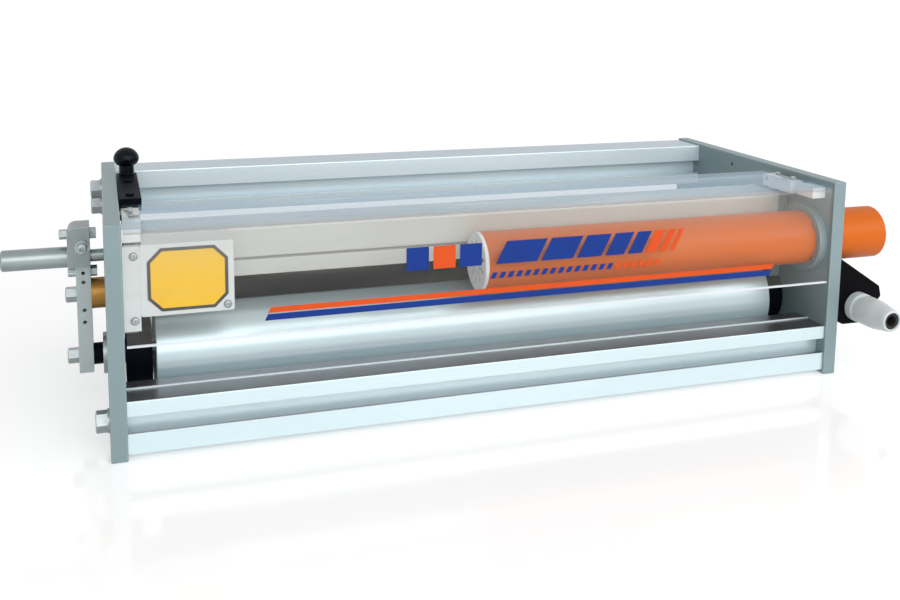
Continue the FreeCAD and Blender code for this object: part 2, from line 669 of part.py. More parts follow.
def clamp_block():
    """Split block that grips the carriage's shaft at the top of the lever bar."""
    body = block(-CLAMP_OUT, -BAR_IN, -CLAMP_W / 2, CLAMP_W / 2, BAR_TOP, CLAMP_TOP)
    corner = [edge for edge in long_edges(body, Vector(0, 1, 0))
              if edge.CenterOfMass.x < -BAR_OUT and edge.CenterOfMass.z > CLAMP_SCREW_Z]
    body = body.makeFillet(CLAMP_ROUND, corner)
    body = body.cut(round_x(-CLAMP_OUT, -BAR_IN, 0, CARRIAGE_SHAFT_Z, CARRIAGE_SHAFT_D + 2 * FIT))
    slit_top = CLAMP_SCREW_Z + CLAMP_SCREW_D
    body = body.cut(block(-CLAMP_OUT, -BAR_IN, -CLAMP_SLIT / 2, CLAMP_SLIT / 2, CARRIAGE_SHAFT_Z, slit_top))
    body = body.cut(round_y(-CLAMP_W / 2, CLAMP_W / 2, LEVER_X, CLAMP_SCREW_Z, CLAMP_SCREW_D + 2 * FIT))
    return body.cut(round_x(-CLAMP_OUT, -BAR_IN, 0, UPPER_SCREW_Z, CLAMP_SCREW_D + 2 * FIT))


def carriage_shaft():
    """Steel shaft from the handle, through the clamp and the plate's arc slot, to the left arm."""
    return round_x(-CLAMP_OUT - HANDLE_BORE_DEPTH, -ARM_IN, 0, CARRIAGE_SHAFT_Z, CARRIAGE_SHAFT_D)


def handle_rod():
    """Grey handle with a chamfered end, fixed on the carriage's shaft."""
    rod = round_x(-CLAMP_OUT - HANDLE_LENGTH, -CLAMP_OUT, 0, CARRIAGE_SHAFT_Z, HANDLE_D)
    rims = [edge for edge in rod.Edges
            if isinstance(edge.Curve, Part.Circle) and edge.CenterOfMass.x < -CLAMP_OUT - HANDLE_BORE_DEPTH]
    rod = rod.makeChamfer(HANDLE_CHAMFER, rims)
    bore_end = -CLAMP_OUT - HANDLE_BORE_DEPTH - FIT
    return rod.cut(round_x(bore_end, -CLAMP_OUT, 0, CARRIAGE_SHAFT_Z, CARRIAGE_SHAFT_D + 2 * FIT))


def cap_screw(length):
    """A socket cap screw along +Z, with the underside of its head at the origin."""
    head = round_z(-CAP_HEAD_H, 0, 0, 0, CAP_HEAD_D)
    socket = hexagon(HEX_SOCKET_AF, CAP_HEAD_H / 2)
    socket.translate(Vector(0, 0, -CAP_HEAD_H))
    return head.fuse(round_z(0, length, 0, 0, CLAMP_SCREW_D)).cut(socket)


def clamp_screw():
    """The screw that closes the clamp's slit, on a ring at the block's front."""
    screw = cap_screw(CLAMP_W)
    screw.rotate(Vector(), Vector(1, 0, 0), -90)
    screw.translate(Vector(LEVER_X, -CLAMP_W / 2 - WASHER_T, CLAMP_SCREW_Z))
    return screw


def clamp_ring():
    front = -CLAMP_W / 2
    ring = round_y(front - WASHER_T, front, LEVER_X, CLAMP_SCREW_Z, RING_D)
    return ring.cut(round_y(front - WASHER_T, front, LEVER_X, CLAMP_SCREW_Z, CLAMP_SCREW_D + 2 * FIT))


def lever_cap_screws():
    """Two cap screws along X, one through the clamp block and one through the bar."""
    screws = []
    for z, out in ((UPPER_SCREW_Z, CLAMP_OUT), (LOWER_SCREW_Z, BAR_OUT)):
        screw = cap_screw(out - BAR_IN + SIDE_NUT_T)
        screw.rotate(Vector(), Vector(0, 1, 0), 90)
        screw.translate(Vector(-out, 0, z))
        screws.append(screw)
    return group(screws)


def lever_nuts():
    nuts = []
    for z in (UPPER_SCREW_Z, LOWER_SCREW_Z):
        nut = hex_x(-BAR_IN, SIDE_NUT_T - BAR_IN, 0, z, SIDE_NUT_AF)
        nuts.append(nut.cut(round_x(-BAR_IN, SIDE_NUT_T - BAR_IN, 0, z, CLAMP_SCREW_D + 2 * FIT)))
    return group(nuts)


def brass_bush():
    """Brass slide bush that keeps the lever square to the plate as it swings."""
    bush = round_x(-BAR_IN, -OUTER - SEAT, 0, BRASS_Z, BRASS_D)
    return bush.cut(round_x(-BAR_IN, BRASS_GRIP + FIT - BAR_IN, 0, BRASS_Z, BOLT_D + 2 * FIT))


def bush_bolt():
    """Hex bolt that holds the brass bush to the bar."""
    head = hex_x(-BAR_OUT - LEVER_HEAD_T, -BAR_OUT, 0, BRASS_Z, LEVER_HEAD_AF)
    return head.fuse(round_x(-BAR_OUT, BRASS_GRIP - BAR_IN, 0, BRASS_Z, BOLT_D))


def exhaust_pipe():
    """Pipe from the middle of the machine out through the right plate."""
    right_end = OUTER + PIPE_OUTSIDE
    pipe = round_x(PIPE_LEFT_END, OUTER + SPIGOT_START, PIPE_Y, PIPE_Z, PIPE_D)
    pipe = pipe.fuse(round_x(OUTER + SPIGOT_START, right_end, PIPE_Y, PIPE_Z, SPIGOT_D))
    return pipe.cut(round_x(PIPE_LEFT_END, right_end, PIPE_Y, PIPE_Z, PIPE_D - 2 * PIPE_WALL))


def collar_screw_places():
    """Centres of the collar's screws round the pipe, as (y, z)."""
    reach = COLLAR_SCREWS_D / 2
    turns = [math.radians(degrees) for degrees in COLLAR_SCREW_DEG]
    return [(PIPE_Y - reach * math.cos(turn), PIPE_Z + reach * math.sin(turn)) for turn in turns]


def pipe_collar():
    """Ring that carries the pipe on the right plate's inner face, flat where the arm swings past."""
    ring = round_x(INNER - COLLAR_T, INNER, PIPE_Y, PIPE_Z, COLLAR_D)
    ring = ring.cut(block(INNER - COLLAR_T, INNER, -HOUSING_FRONT - COLLAR_FLAT_GAP, 0,
                          PIPE_Z - COLLAR_D, PIPE_Z + COLLAR_D))
    ring = ring.cut(round_x(INNER - COLLAR_T, INNER, PIPE_Y, PIPE_Z, PIPE_D + 2 * FIT))
    for y, z in collar_screw_places():
        ring = ring.cut(round_x(INNER - COLLAR_T, INNER, y, z, COLLAR_SCREW_D + 2 * FIT))
    return ring


def collar_screws():
    return group([round_x(INNER - COLLAR_T - WASHER_T, INNER, y, z, COLLAR_SCREW_D)
                  for y, z in collar_screw_places()])


def intake_grille():
    """Slotted disc that closes the pipe's inner end and lets the ozone in."""
    x_out, x_in = PIPE_LEFT_END - GRILLE_T, PIPE_LEFT_END
    disc = round_x(x_out, x_in, PIPE_Y, PIPE_Z, PIPE_D)
    spigot_d = PIPE_D - 2 * PIPE_WALL - 2 * FIT
    disc = disc.fuse(round_x(x_in, x_in + GRILLE_T, PIPE_Y, PIPE_Z, spigot_d))
    disc = disc.cut(round_x(x_in, x_in + GRILLE_T, PIPE_Y, PIPE_Z, spigot_d - 2 * PIPE_WALL))
    for step in range(GRILLE_SLOTS):
        slot = block(x_out, x_in, PIPE_Y - GRILLE_SLOT_W / 2, PIPE_Y + GRILLE_SLOT_W / 2,
                     PIPE_Z + GRILLE_SLOT_INNER, PIPE_Z + GRILLE_SLOT_OUTER)
        slot.rotate(Vector(0, PIPE_Y, PIPE_Z), Vector(1, 0, 0), 360 * step / GRILLE_SLOTS)
        disc = disc.cut(slot)
    return disc


def cover_sheet():
    """Clear sheet bent once, a top and a front skirt, as one thickness throughout."""
    front = FRONT + COVER_FRONT_INSET
    sheet = block(-LUG_OUT, LUG_OUT, front, COVER_BACK, COVER_SKIRT_BOTTOM, COVER_TOP)
    inside = block(-LUG_OUT, LUG_OUT, front + COVER_T, COVER_BACK, COVER_SKIRT_BOTTOM, COVER_UNDER)
    outer_bend = [edge for edge in long_edges(sheet, Vector(1, 0, 0))
                  if edge.CenterOfMass.y < HINGE_Y and edge.CenterOfMass.z > HINGE_Z]
    inner_bend = [edge for edge in long_edges(inside, Vector(1, 0, 0))
                  if edge.CenterOfMass.y < HINGE_Y and edge.CenterOfMass.z > HINGE_Z]
    sheet = sheet.makeFillet(COVER_BEND, outer_bend)
    sheet = sheet.cut(inside.makeFillet(COVER_BEND - COVER_T, inner_bend))
    for side in (LEFT, RIGHT):
        for y in lug_screws_y():
            sheet = sheet.cut(round_z(COVER_UNDER, COVER_TOP, side * LUG_X, y, LUG_SCREW_D + 2 * FIT))
    return sheet


def lug_screws_y():
    """The two screws of a lug, clear of its hinge bore."""
    return (LUG_FRONT + LUG_SCREW_HEAD, HINGE_Y - HINGE_D - LUG_SCREW_HEAD / 2)


def cover_lug(side):
    """White block under the cover's rear corner, which turns on the hinge pin."""
    lug = block(side * LUG_IN, side * LUG_OUT, LUG_FRONT, COVER_BACK, COVER_UNDER - LUG_H, COVER_UNDER)
    lug = lug.cut(round_x(side * LUG_IN, side * LUG_OUT, HINGE_Y, HINGE_Z, HINGE_D + 2 * FIT))
    bore = LUG_SCREW_D + 2 * FIT
    for y in lug_screws_y():
        lug = lug.cut(round_z(COVER_UNDER - LUG_H, COVER_UNDER, side * LUG_X, y, bore))
    if side == LEFT:
        reach = LATCH_TONGUE_W / 2 + POCKET_GAP
        pocket_end = LATCH_NOSE - LATCH_TRAVEL - POCKET_GAP
        lug = lug.cut(block(-LUG_X - reach, reach - LUG_X, pocket_end, COVER_BACK,
                            TONGUE_BOTTOM - POCKET_GAP, TONGUE_TOP + POCKET_GAP))
    return lug


def cover_lug_screws():
    """Flat-headed screws through the sheet into the lugs."""
    screws = []
    for side in (LEFT, RIGHT):
        for y in lug_screws_y():
            x = side * LUG_X
            head = round_z(COVER_TOP, COVER_TOP + LUG_SCREW_HEAD_T, x, y, LUG_SCREW_HEAD)
            screws.append(head.fuse(round_z(COVER_UNDER - LUG_H / 2, COVER_TOP, x, y, LUG_SCREW_D)))
    return group(screws)


def hinge_pins():
    """Pins pressed into the plates, on which the lugs turn."""
    return group([round_x(side * LUG_IN, side * (INNER + HINGE_SEAT), HINGE_Y, HINGE_Z, HINGE_D)
                  for side in (LEFT, RIGHT)])


def cover_rests():
    """White blocks on the plates, on which the closed cover lies."""
    return group([block(side * (INNER - LUG_W), side * INNER, REST_FRONT, REST_BACK,
                        COVER_UNDER - SEAT - REST_H, COVER_UNDER - SEAT) for side in (LEFT, RIGHT)])


def latch_bar():
    """Black bar that slides along the left plate, with a tongue for the pocket in the cover's lug."""
    bar = block(LATCH_OUT, LATCH_IN, LATCH_FRONT, LATCH_BACK, LATCH_UNDER, TOP)
    left, right = -LUG_X - LATCH_TONGUE_W / 2, LATCH_TONGUE_W / 2 - LUG_X
    bar = bar.fuse(block(left, right, LATCH_FRONT, LATCH_FRONT + LATCH_NECK, TONGUE_BOTTOM, TOP))
    bar = bar.fuse(block(left, right, LATCH_NOSE, LATCH_FRONT, TONGUE_BOTTOM, TONGUE_TOP)).removeSplitter()
    reach = LATCH_SCREW_D / 2 + SEAT
    for y in LATCH_SCREWS_Y:
        slot = block(LATCH_X - reach, LATCH_X + reach, y, y + LATCH_TRAVEL, LATCH_UNDER, TOP)
        slot = slot.fuse(round_z(LATCH_UNDER, TOP, LATCH_X, y, 2 * reach))
        slot = slot.fuse(round_z(LATCH_UNDER, TOP, LATCH_X, y + LATCH_TRAVEL, 2 * reach))
        bar = bar.cut(slot)
    return bar.cut(round_z(LATCH_UNDER, TOP, LATCH_X, KNOB_Y, KNOB_STUD_D + 2 * FIT))


def latch_guide():
    """Angle on the plate's inner face that carries the sliding bar."""
    shelf = block(-INNER, LATCH_IN, GUIDE_FRONT, GUIDE_BACK, GUIDE_TOP - GUIDE_T, GUIDE_TOP)
    flange = block(-INNER, GUIDE_T - INNER, GUIDE_FRONT, GUIDE_BACK, GUIDE_TOP - GUIDE_FLANGE, GUIDE_TOP)
    return shelf.fuse(flange).removeSplitter()


def latch_guide_screws():
    """Shoulder screws in the bar's slots, which keep it down on the guide."""
    screws = []
    for y in LATCH_SCREWS_Y:
        head = round_z(TOP + SEAT, TOP + SEAT + LATCH_SCREW_HEAD_T, LATCH_X, y, LATCH_SCREW_HEAD)
        screws.append(head.fuse(round_z(GUIDE_TOP, TOP + SEAT, LATCH_X, y, LATCH_SCREW_D)))
    return group(screws)


def latch_knob():
    """Black mushroom knob on a ribbed neck, hollow for its stud."""
    neck, head, crown = KNOB_NECK_D / 2, KNOB_HEAD_D / 2, KNOB_NECK_H + KNOB_HEAD_H
    cheek = KNOB_NECK_H + KNOB_HEAD_H / 2
    stem = [Vector(0, 0, crown), Vector(), Vector(neck, 0, 0)]
    for step in range(KNOB_RIBS):
        low = (step + 0.5) * KNOB_NECK_H / KNOB_RIBS
        high, root = low + KNOB_RIB_D, neck - KNOB_RIB_D
        stem += [Vector(neck, 0, low), Vector(root, 0, low), Vector(root, 0, high), Vector(neck, 0, high)]
    stem.append(Vector(neck, 0, KNOB_NECK_H))
    edges = [Part.LineSegment(first, last).toShape() for first, last in zip(stem, stem[1:])]
    rim = Vector(head, 0, cheek)
    under_side = Vector(head * KNOB_CHEEK_OUT, 0, KNOB_NECK_H + KNOB_HEAD_H * KNOB_CHEEK_UP)
    under = Part.Arc(stem[-1], under_side, rim)
    rise = crown - cheek
    ball = (head ** 2 + rise ** 2) / (2 * rise)
    lean = math.asin(head / ball) / 2
    dome = Part.Arc(rim, Vector(ball * math.sin(lean), 0, crown - ball + ball * math.cos(lean)), stem[0])
    outline = Part.Wire(edges + [under.toShape(), dome.toShape()])
    knob = Part.Face(outline).revolve(Vector(), Vector(0, 0, 1), 360)
    knob = knob.cut(round_z(0, cheek, 0, 0, KNOB_STUD_D + 2 * FIT))
    knob.translate(Vector(LATCH_X, KNOB_Y, TOP + SEAT))
    return knob


def knob_stud():
    """The knob's threaded stud with its nut under the bar."""
    stud_top = TOP + SEAT + KNOB_NECK_H + KNOB_HEAD_H / 2
    nut_top = LATCH_UNDER - SEAT
    nut = hexagon(KNOB_NUT_AF, KNOB_NUT_T)
    nut.translate(Vector(LATCH_X, KNOB_Y, nut_top - KNOB_NUT_T))
    return round_z(nut_top, stud_top, LATCH_X, KNOB_Y, KNOB_STUD_D).fuse(nut)


def terminal_box():
    """White box over the left-hand connections, behind its lid."""
    front, back = TERMINAL_FRONT + TERMINAL_LID_T, TERMINAL_FRONT + TERMINAL_D
    body = block(TERMINAL_LEFT, TERMINAL_RIGHT, front, back, TERMINAL_BOTTOM, TERMINAL_TOP)
    body = body.makeFillet(TERMINAL_ROUND, long_edges(body, Vector(0, 1, 0)))
    bore_end = TERMINAL_FRONT + LID_SCREW_DEPTH + FIT
    return body.cut(round_y(front, bore_end, LID_SCREW_X, LID_SCREW_Z, STRIP_SCREW_D + 2 * FIT))


def terminal_lid():
    back = TERMINAL_FRONT + TERMINAL_LID_T
    lid = block(TERMINAL_LEFT, TERMINAL_RIGHT, TERMINAL_FRONT, back, TERMINAL_BOTTOM, TERMINAL_TOP)
    lid = lid.makeFillet(TERMINAL_ROUND, long_edges(lid, Vector(0, 1, 0)))
    return lid.cut(round_y(TERMINAL_FRONT, back, LID_SCREW_X, LID_SCREW_Z, STRIP_SCREW_D + 2 * FIT))


def mounting_strip():
    """White strip that holds the terminal box to the left plate."""
    back = TERMINAL_FRONT + STRIP_T
    strip = block(-INNER, STRIP_W - INNER, TERMINAL_FRONT, back, STRIP_BOTTOM, STRIP_TOP)
    for z in STRIP_SCREWS_Z:
        strip = strip.cut(round_y(TERMINAL_FRONT, back, STRIP_X, z, STRIP_SCREW_D + 2 * FIT))
    return strip


def round_headed_screw(x, z, depth):
    """A screw along Y with its head on the front of the terminal box or its strip."""
    head = round_y(TERMINAL_FRONT - STRIP_SCREW_HEAD_T, TERMINAL_FRONT, x, z, STRIP_SCREW_HEAD)
    return head.fuse(round_y(TERMINAL_FRONT, TERMINAL_FRONT + depth, x, z, STRIP_SCREW_D))


def strip_screws():
    """Two screws through the strip."""
    return group([round_headed_screw(STRIP_X, z, STRIP_T) for z in STRIP_SCREWS_Z])


def lid_screw():
    return round_headed_screw(LID_SCREW_X, LID_SCREW_Z, LID_SCREW_DEPTH)


def inlet_box():
    """Black moulded inlet box with a sloping roof, outside the right plate."""
    outline = [(OUTER, INLET_HEIGHT), (OUTER + INLET_REACH - INLET_ROUND, INLET_SHOULDER),
               (OUTER + INLET_REACH, INLET_NOSE), (OUTER + INLET_BELLY_OUT, INLET_BELLY),
               (OUTER + INLET_BELLY_IN, INLET_BELLY), (OUTER, INLET_FOOT)]
    ring = [Vector(x, INLET_FRONT, z) for x, z in outline]
    body = Part.Face(Part.makePolygon(ring + ring[:1])).extrude(Vector(0, INLET_D, 0))
    corners = [edge for edge in long_edges(body, Vector(0, 1, 0)) if edge.CenterOfMass.x > OUTER + FIT]
    body = body.makeFillet(INLET_ROUND, corners)
    body = body.cut(round_x(OUTER, OUTER + INLET_REACH, PIPE_Y, PIPE_Z, PIPE_D + 2 * INLET_PIPE_GAP))
    return body.cut(round_y(INLET_FRONT, INLET_FRONT + CABLE_ROOM_DEPTH, GLAND_X, GLAND_Z, CABLE_ROOM_D))


def gland_axis_turned(profile):
    """A turned piece on the gland's axis, its length measured from the inlet box towards the front."""
    return turned(profile, Vector(GLAND_X, INLET_FRONT, GLAND_Z), Vector(0, -1, 0))


def gland_body():
    """Pale grey collar and neck of the cable gland."""
    bore = GLAND_BORE_D / 2
    collar, neck = GLAND_COLLAR_D / 2, GLAND_NECK_D / 2
    return gland_axis_turned([
        (bore, 0), (collar, 0), (collar, GLAND_COLLAR_T), (neck, GLAND_COLLAR_T),
        (neck, GLAND_NECK_END), (bore, GLAND_NECK_END)])


def gland_nut():
    """Domed cap nut of the cable gland."""
    shoulder = GLAND_NECK_END + GLAND_NUT_T
    seal, nut, end = GLAND_SEAL_D / 2 + FIT, GLAND_NUT_D / 2, GLAND_TIP_D / 2
    return gland_axis_turned([
        (seal, GLAND_NECK_END), (nut, GLAND_NECK_END), (nut, shoulder), (end, GLAND_TIP), (seal, GLAND_TIP)])


def gland_seal():
    """Rubber insert that grips the cable."""
    tip = GLAND_TIP - GLAND_SEAL_INSET
    bore, seal = GLAND_BORE_D / 2, GLAND_SEAL_D / 2
    return gland_axis_turned([(bore, GLAND_NECK_END), (seal, GLAND_NECK_END), (seal, tip), (bore, tip)])


def parts():
    """Every node of the machine, by name."""
    nodes = {
        "left_side_plate": left_side_plate(),
        "right_side_plate": right_side_plate(),
        "front_rail": front_rail(),
        "back_rail": back_rail(),
        "rail_bolts": rail_bolts(),
        "rail_washers": rail_washers(),
        "hinge_pins": hinge_pins(),
        "roller_shell": roller_shell(),
        "roller_shaft": roller_shaft(),
        "shaft_flanges": shaft_flanges(),
        "shaft_end_bolts": shaft_end_bolts(),
        "pivot_spacer": pivot_spacer(),
        "arm_bushes": arm_bushes(),
        "electrode_housing": electrode_housing(),
        "electrode_blades": electrode_blades(),
        "electrode_insulators": electrode_insulators(),
        "lever_bar": lever_bar(),
        "clamp_block": clamp_block(),
        "carriage_shaft": carriage_shaft(),
        "handle_rod": handle_rod(),
        "clamp_screw": clamp_screw(),
        "clamp_ring": clamp_ring(),
        "lever_cap_screws": lever_cap_screws(),
        "lever_nuts": lever_nuts(),
        "brass_bush": brass_bush(),
        "bush_bolt": bush_bolt(),
        "exhaust_pipe": exhaust_pipe(),
        "pipe_collar": pipe_collar(),
        "collar_screws": collar_screws(),
        "intake_grille": intake_grille(),
        "cover_sheet": cover_sheet(),
        "cover_rests": cover_rests(),
        "cover_lug_screws": cover_lug_screws(),
        "latch_bar": latch_bar(),
        "latch_guide": latch_guide(),
        "latch_guide_screws": latch_guide_screws(),
        "latch_knob": latch_knob(),
        "knob_stud": knob_stud(),
        "terminal_box": terminal_box(),
        "terminal_lid": terminal_lid(),
        "mounting_strip": mounting_strip(),
        "strip_screws": strip_screws(),
        "lid_screw": lid_screw(),
        "inlet_box": inlet_box(),
        "gland_body": gland_body(),
        "gland_nut": gland_nut(),
        "gland_seal": gland_seal(),
    }
    makers = {
        "roller_end_cap": roller_end_cap,
        "roller_bearing": roller_bearing,
        "electrode_arm": electrode_arm,
        "arm_hub": arm_hub,
        "housing_end_plate": housing_end_plate,
        "cover_lug": cover_lug,
    }
    for name, maker in makers.items():
        for word, side in SIDES.items():
            nodes[name + "_" + word] = maker(side)
    return nodes


os.makedirs("parts", exist_ok=True)
for node, shape in parts().items():
    shape.exportStep("parts/" + node + ".step")
    print(node, len(shape.Solids), round(shape.Volume), shape.isValid())
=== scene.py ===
import math

import bmesh
import bpy
from mathutils import Matrix, Vector


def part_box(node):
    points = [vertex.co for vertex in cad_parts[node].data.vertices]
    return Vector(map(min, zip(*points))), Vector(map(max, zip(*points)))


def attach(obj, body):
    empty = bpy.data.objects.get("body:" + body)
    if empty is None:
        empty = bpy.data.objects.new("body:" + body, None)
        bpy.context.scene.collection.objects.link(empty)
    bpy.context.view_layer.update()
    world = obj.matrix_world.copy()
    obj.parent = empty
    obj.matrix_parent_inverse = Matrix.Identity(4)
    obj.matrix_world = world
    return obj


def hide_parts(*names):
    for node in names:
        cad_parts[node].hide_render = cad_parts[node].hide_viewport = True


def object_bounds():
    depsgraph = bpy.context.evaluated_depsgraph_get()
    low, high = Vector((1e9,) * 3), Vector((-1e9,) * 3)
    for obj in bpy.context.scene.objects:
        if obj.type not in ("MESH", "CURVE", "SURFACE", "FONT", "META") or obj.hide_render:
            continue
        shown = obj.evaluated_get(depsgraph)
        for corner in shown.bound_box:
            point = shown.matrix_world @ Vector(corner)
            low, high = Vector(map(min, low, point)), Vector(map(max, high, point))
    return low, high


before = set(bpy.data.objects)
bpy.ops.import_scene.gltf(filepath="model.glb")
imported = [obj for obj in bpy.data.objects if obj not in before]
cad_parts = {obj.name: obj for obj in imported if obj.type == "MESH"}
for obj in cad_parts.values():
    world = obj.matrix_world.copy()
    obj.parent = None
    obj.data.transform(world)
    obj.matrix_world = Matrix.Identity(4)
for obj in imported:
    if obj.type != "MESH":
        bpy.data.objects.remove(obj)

cad_box = [list(corner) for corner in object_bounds()]


# The two side plates are cut from 20 mm plate and coated a satin grey-blue,
# which handling has rubbed bright along the edges. One small tapped hole is
# left in the right plate for an accessory.

class Wire:
    """A socket of a material. Sums on wires add Math nodes, and node() adds any other node."""

    def __init__(self, tree, socket=None):
        self.tree = tree
        self.socket = socket

    def node(self, kind, inputs=(), output=0, **settings):
        """A new node with its settings, a ramp's stops, and the values or links of its sockets."""
        made = self.tree.nodes.new("ShaderNode" + kind)
        stops = settings.pop("stops", ())
        for name, value in settings.items():
            setattr(made, name, value)
        for step, (position, level) in enumerate(stops):
            ramp = made.color_ramp.elements
            stop = ramp[step] if step < len(ramp) else ramp.new(position)
            stop.position = position
            stop.color = (level, level, level, 1.0)
        for name, value in dict(inputs).items():
            if isinstance(value, Wire):
                self.tree.links.new(value.socket, made.inputs[name])
            else:
                made.inputs[name].default_value = value
        return Wire(self.tree, made.outputs[output] if made.outputs else None)

    def maths(self, operation, first, second):
        """A Math node on two wires or numbers."""
        return self.node("Math", {0: first, 1: second}, operation=operation)

    def __add__(self, other):
        return self.maths("ADD", self, other)

    def __radd__(self, other):
        return self.maths("ADD", other, self)

    def __sub__(self, other):
        return self.maths("SUBTRACT", self, other)

    def __rsub__(self, other):
        return self.maths("SUBTRACT", other, self)

    def __mul__(self, other):
        return self.maths("MULTIPLY", self, other)

    def __rmul__(self, other):
        return self.maths("MULTIPLY", other, self)


def colour(code):
    """A colour written as six hex digits, as a screen shows it, turned linear."""
    levels = [int(code[start:start + 2], 16) / 255 for start in (0, 2, 4)]
    return tuple(level / 12.92 if level < 0.04 else ((level + 0.055) / 1.055) ** 2.4
                 for level in levels) + (1.0,)


def along(wire, stretch=(1.0, 1.0, 1.0)):
    """Object coordinates, stretched so that a pattern runs long where the factor is small."""
    spot = wire.node("TexCoord", output=3)
    return wire.node("Mapping", {"Vector": spot, "Scale": stretch})


def cloud(wire, scale, detail=3.0, stretch=(1.0, 1.0, 1.0)):
    """Soft noise from 0 to 1, with a given number of waves to the metre."""
    return wire.node("TexNoise", {"Vector": along(wire, stretch), "Scale": scale, "Detail": detail})


def between(wire, mask, low, high):
    """One colour where the mask is 0, another where it is 1."""
    return wire.node("Mix", {0: mask, 6: low, 7: high}, output=2, data_type="RGBA")


def rounded(wire, radius):
    """The surface's direction with its edges rounded over a radius."""
    return wire.node("Bevel", {"Radius": radius}, samples=4)


def edge_wear_and_highlight(wire, radius, strength=9.0):
    """1 on edges and 0 on flat faces: where handling rubs the finish, and on the housing a painted
    highlight along its rounded edges.
    """
    true_way = wire.node("NewGeometry", output=1)
    turn = wire.node("VectorMath", {0: rounded(wire, radius), 1: true_way}, output=1,
                     operation="DOT_PRODUCT")
    worn_and_highlit = cloud(wire, 60.0, 4.0)
    return wire.node("Clamp", {"Value": (1.0 - turn) * strength * (worn_and_highlit + 0.25)})


def relief(wire, height, strength, distance=0.0002, edge=0.0004):
    """The surface's direction with a pattern's height on it and soft edges."""
    return wire.node("Bump", {"Height": height, "Strength": strength, "Distance": distance,
                              "Normal": rounded(wire, edge)})


def finish(name, recipe):
    """A material whose recipe gives the sockets of its Principled shader."""
    made = bpy.data.materials.new(name)
    made.use_nodes = True
    made.node_tree.nodes.clear()
    wire = Wire(made.node_tree)
    shader = wire.node("BsdfPrincipled", recipe(wire))
    wire.node("OutputMaterial", {"Surface": shader})
    return made


def dress(material, *names):
    """Gives CAD nodes their finish."""
    for name in names:
        for material_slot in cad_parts[name].material_slots:
            material_slot.material = material


def plate_recipe(wire):
    drift = cloud(wire, 5.0, 2.0)
    grain = cloud(wire, 1400.0, 2.0)
    body = between(wire, drift, colour("7d9195"), colour("8ca0a4"))
    edge = edge_wear_and_highlight(wire, 0.0012)
    return {"Base Color": between(wire, edge, body, colour("b9c6c8")),
            "Metallic": 0.2, "Roughness": 0.34 + drift * 0.12 + grain * 0.06,
            "Normal": relief(wire, grain, 0.12, edge=0.0008)}


plate_paint = finish("plate_paint", plate_recipe)
dress(plate_paint, "left_side_plate", "right_side_plate")


# The two rails are one extruded aluminium section with a wide slot along the front,
# anodised, with the die's faint lines along the bar. The back rail is the same bar turned
# over, and the front one is milled along its top. The top faces of both are painted darker
# as shade; on the front rail this is a painted reflection of the roller's dark underside.

def steep(wire, level, low, high):
    """0 below low, 1 above high and a straight slope between."""
    return wire.node("ValToRGB", {"Fac": level}, stops=((low, 0.0), (high, 1.0)))


def slope(wire):
    """How far a surface faces up, from -1 to 1."""
    facing = wire.node("NewGeometry", output=1)
    return wire.node("SeparateXYZ", {0: facing}, output=2)


def rail_recipe(low_code, high_code, shaded_top_code, top_metal):
    def recipe(wire):
        die_lines = cloud(wire, 900.0, 2.0, stretch=(0.004, 1.0, 1.0))
        drift = cloud(wire, 3.0, 2.0)
        upward = steep(wire, slope(wire), 0.6, 0.9)
        side = between(wire, drift, colour(low_code), colour(high_code))
        # Faces that look up get the darker top colour: painted shade, and on the front rail a painted
        # reflection of the roller's dark underside.
        body = between(wire, upward, side, colour(shaded_top_code))
        edge = edge_wear_and_highlight(wire, 0.0008, 6.0)
        return {"Base Color": between(wire, edge, body, colour("f4f9f9")),
                "Metallic": 0.35 + upward * top_metal, "Roughness": 0.24 + die_lines * 0.16,
                "Normal": relief(wire, die_lines, 0.18, distance=0.0001)}
    return recipe


rail_anodised = finish("rail_anodised", rail_recipe("dbeaf1", "e6f3f8", "b2c4ce", 0.0))
rail_milled_shaded_top = finish("rail_milled_shaded_top", rail_recipe("c9dde2", "d5e7eb", "8a878b", 0.5))
dress(rail_anodised, "back_rail")
dress(rail_milled_shaded_top, "front_rail")


# Hex bolts pull the plates on to the rails. Each has a chamfered head with a
# dished top, pressed from zinc-plated steel, on a plain washer.

MM = 0.001


def zinc_recipe(wire):
    spangle = cloud(wire, 420.0, 3.0)
    stain = cloud(wire, 45.0, 3.0)
    body = between(wire, stain, colour("838b8e"), colour("adb4b6"))
    return {"Base Color": between(wire, edge_wear_and_highlight(wire, 0.0006), body, colour("dde2e3")),
            "Metallic": 0.9, "Roughness": 0.26 + spangle * 0.2,
            "Normal": relief(wire, spangle, 0.1)}


zinc = finish("zinc", zinc_recipe)
dress(zinc, "rail_washers")


ORDER_WAY = Vector((1.0, 0.618, 0.314))


def settle(name, solid, material, body):
    """A finished bmesh as an object in its finish, riding on a body.

    Its faces are turned outward. Its parts are put in order along a slanted line, so that
    every run gives the same mesh.
    """
    bmesh.ops.recalc_face_normals(solid, faces=solid.faces)
    solid.verts.sort(key=lambda vert: vert.co.dot(ORDER_WAY))
    solid.faces.sort(key=lambda face: face.calc_center_median().dot(ORDER_WAY))
    mesh = bpy.data.meshes.new(name)
    solid.to_mesh(mesh)
    solid.free()
    mesh.materials.append(material)
    made = bpy.data.objects.new(name, mesh)
    bpy.context.scene.collection.objects.link(made)
    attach(made, body)
    return made


def drawn_out(solid, face, travel):
    """Extrudes a face along a vector and gives back the face at its end."""
    lifted = bmesh.ops.extrude_face_region(solid, geom=[face])["geom"]
    moved = [item for item in lifted if isinstance(item, bmesh.types.BMVert)]
    bmesh.ops.translate(solid, verts=moved, vec=travel)
    return next(item for item in lifted if isinstance(item, bmesh.types.BMFace))


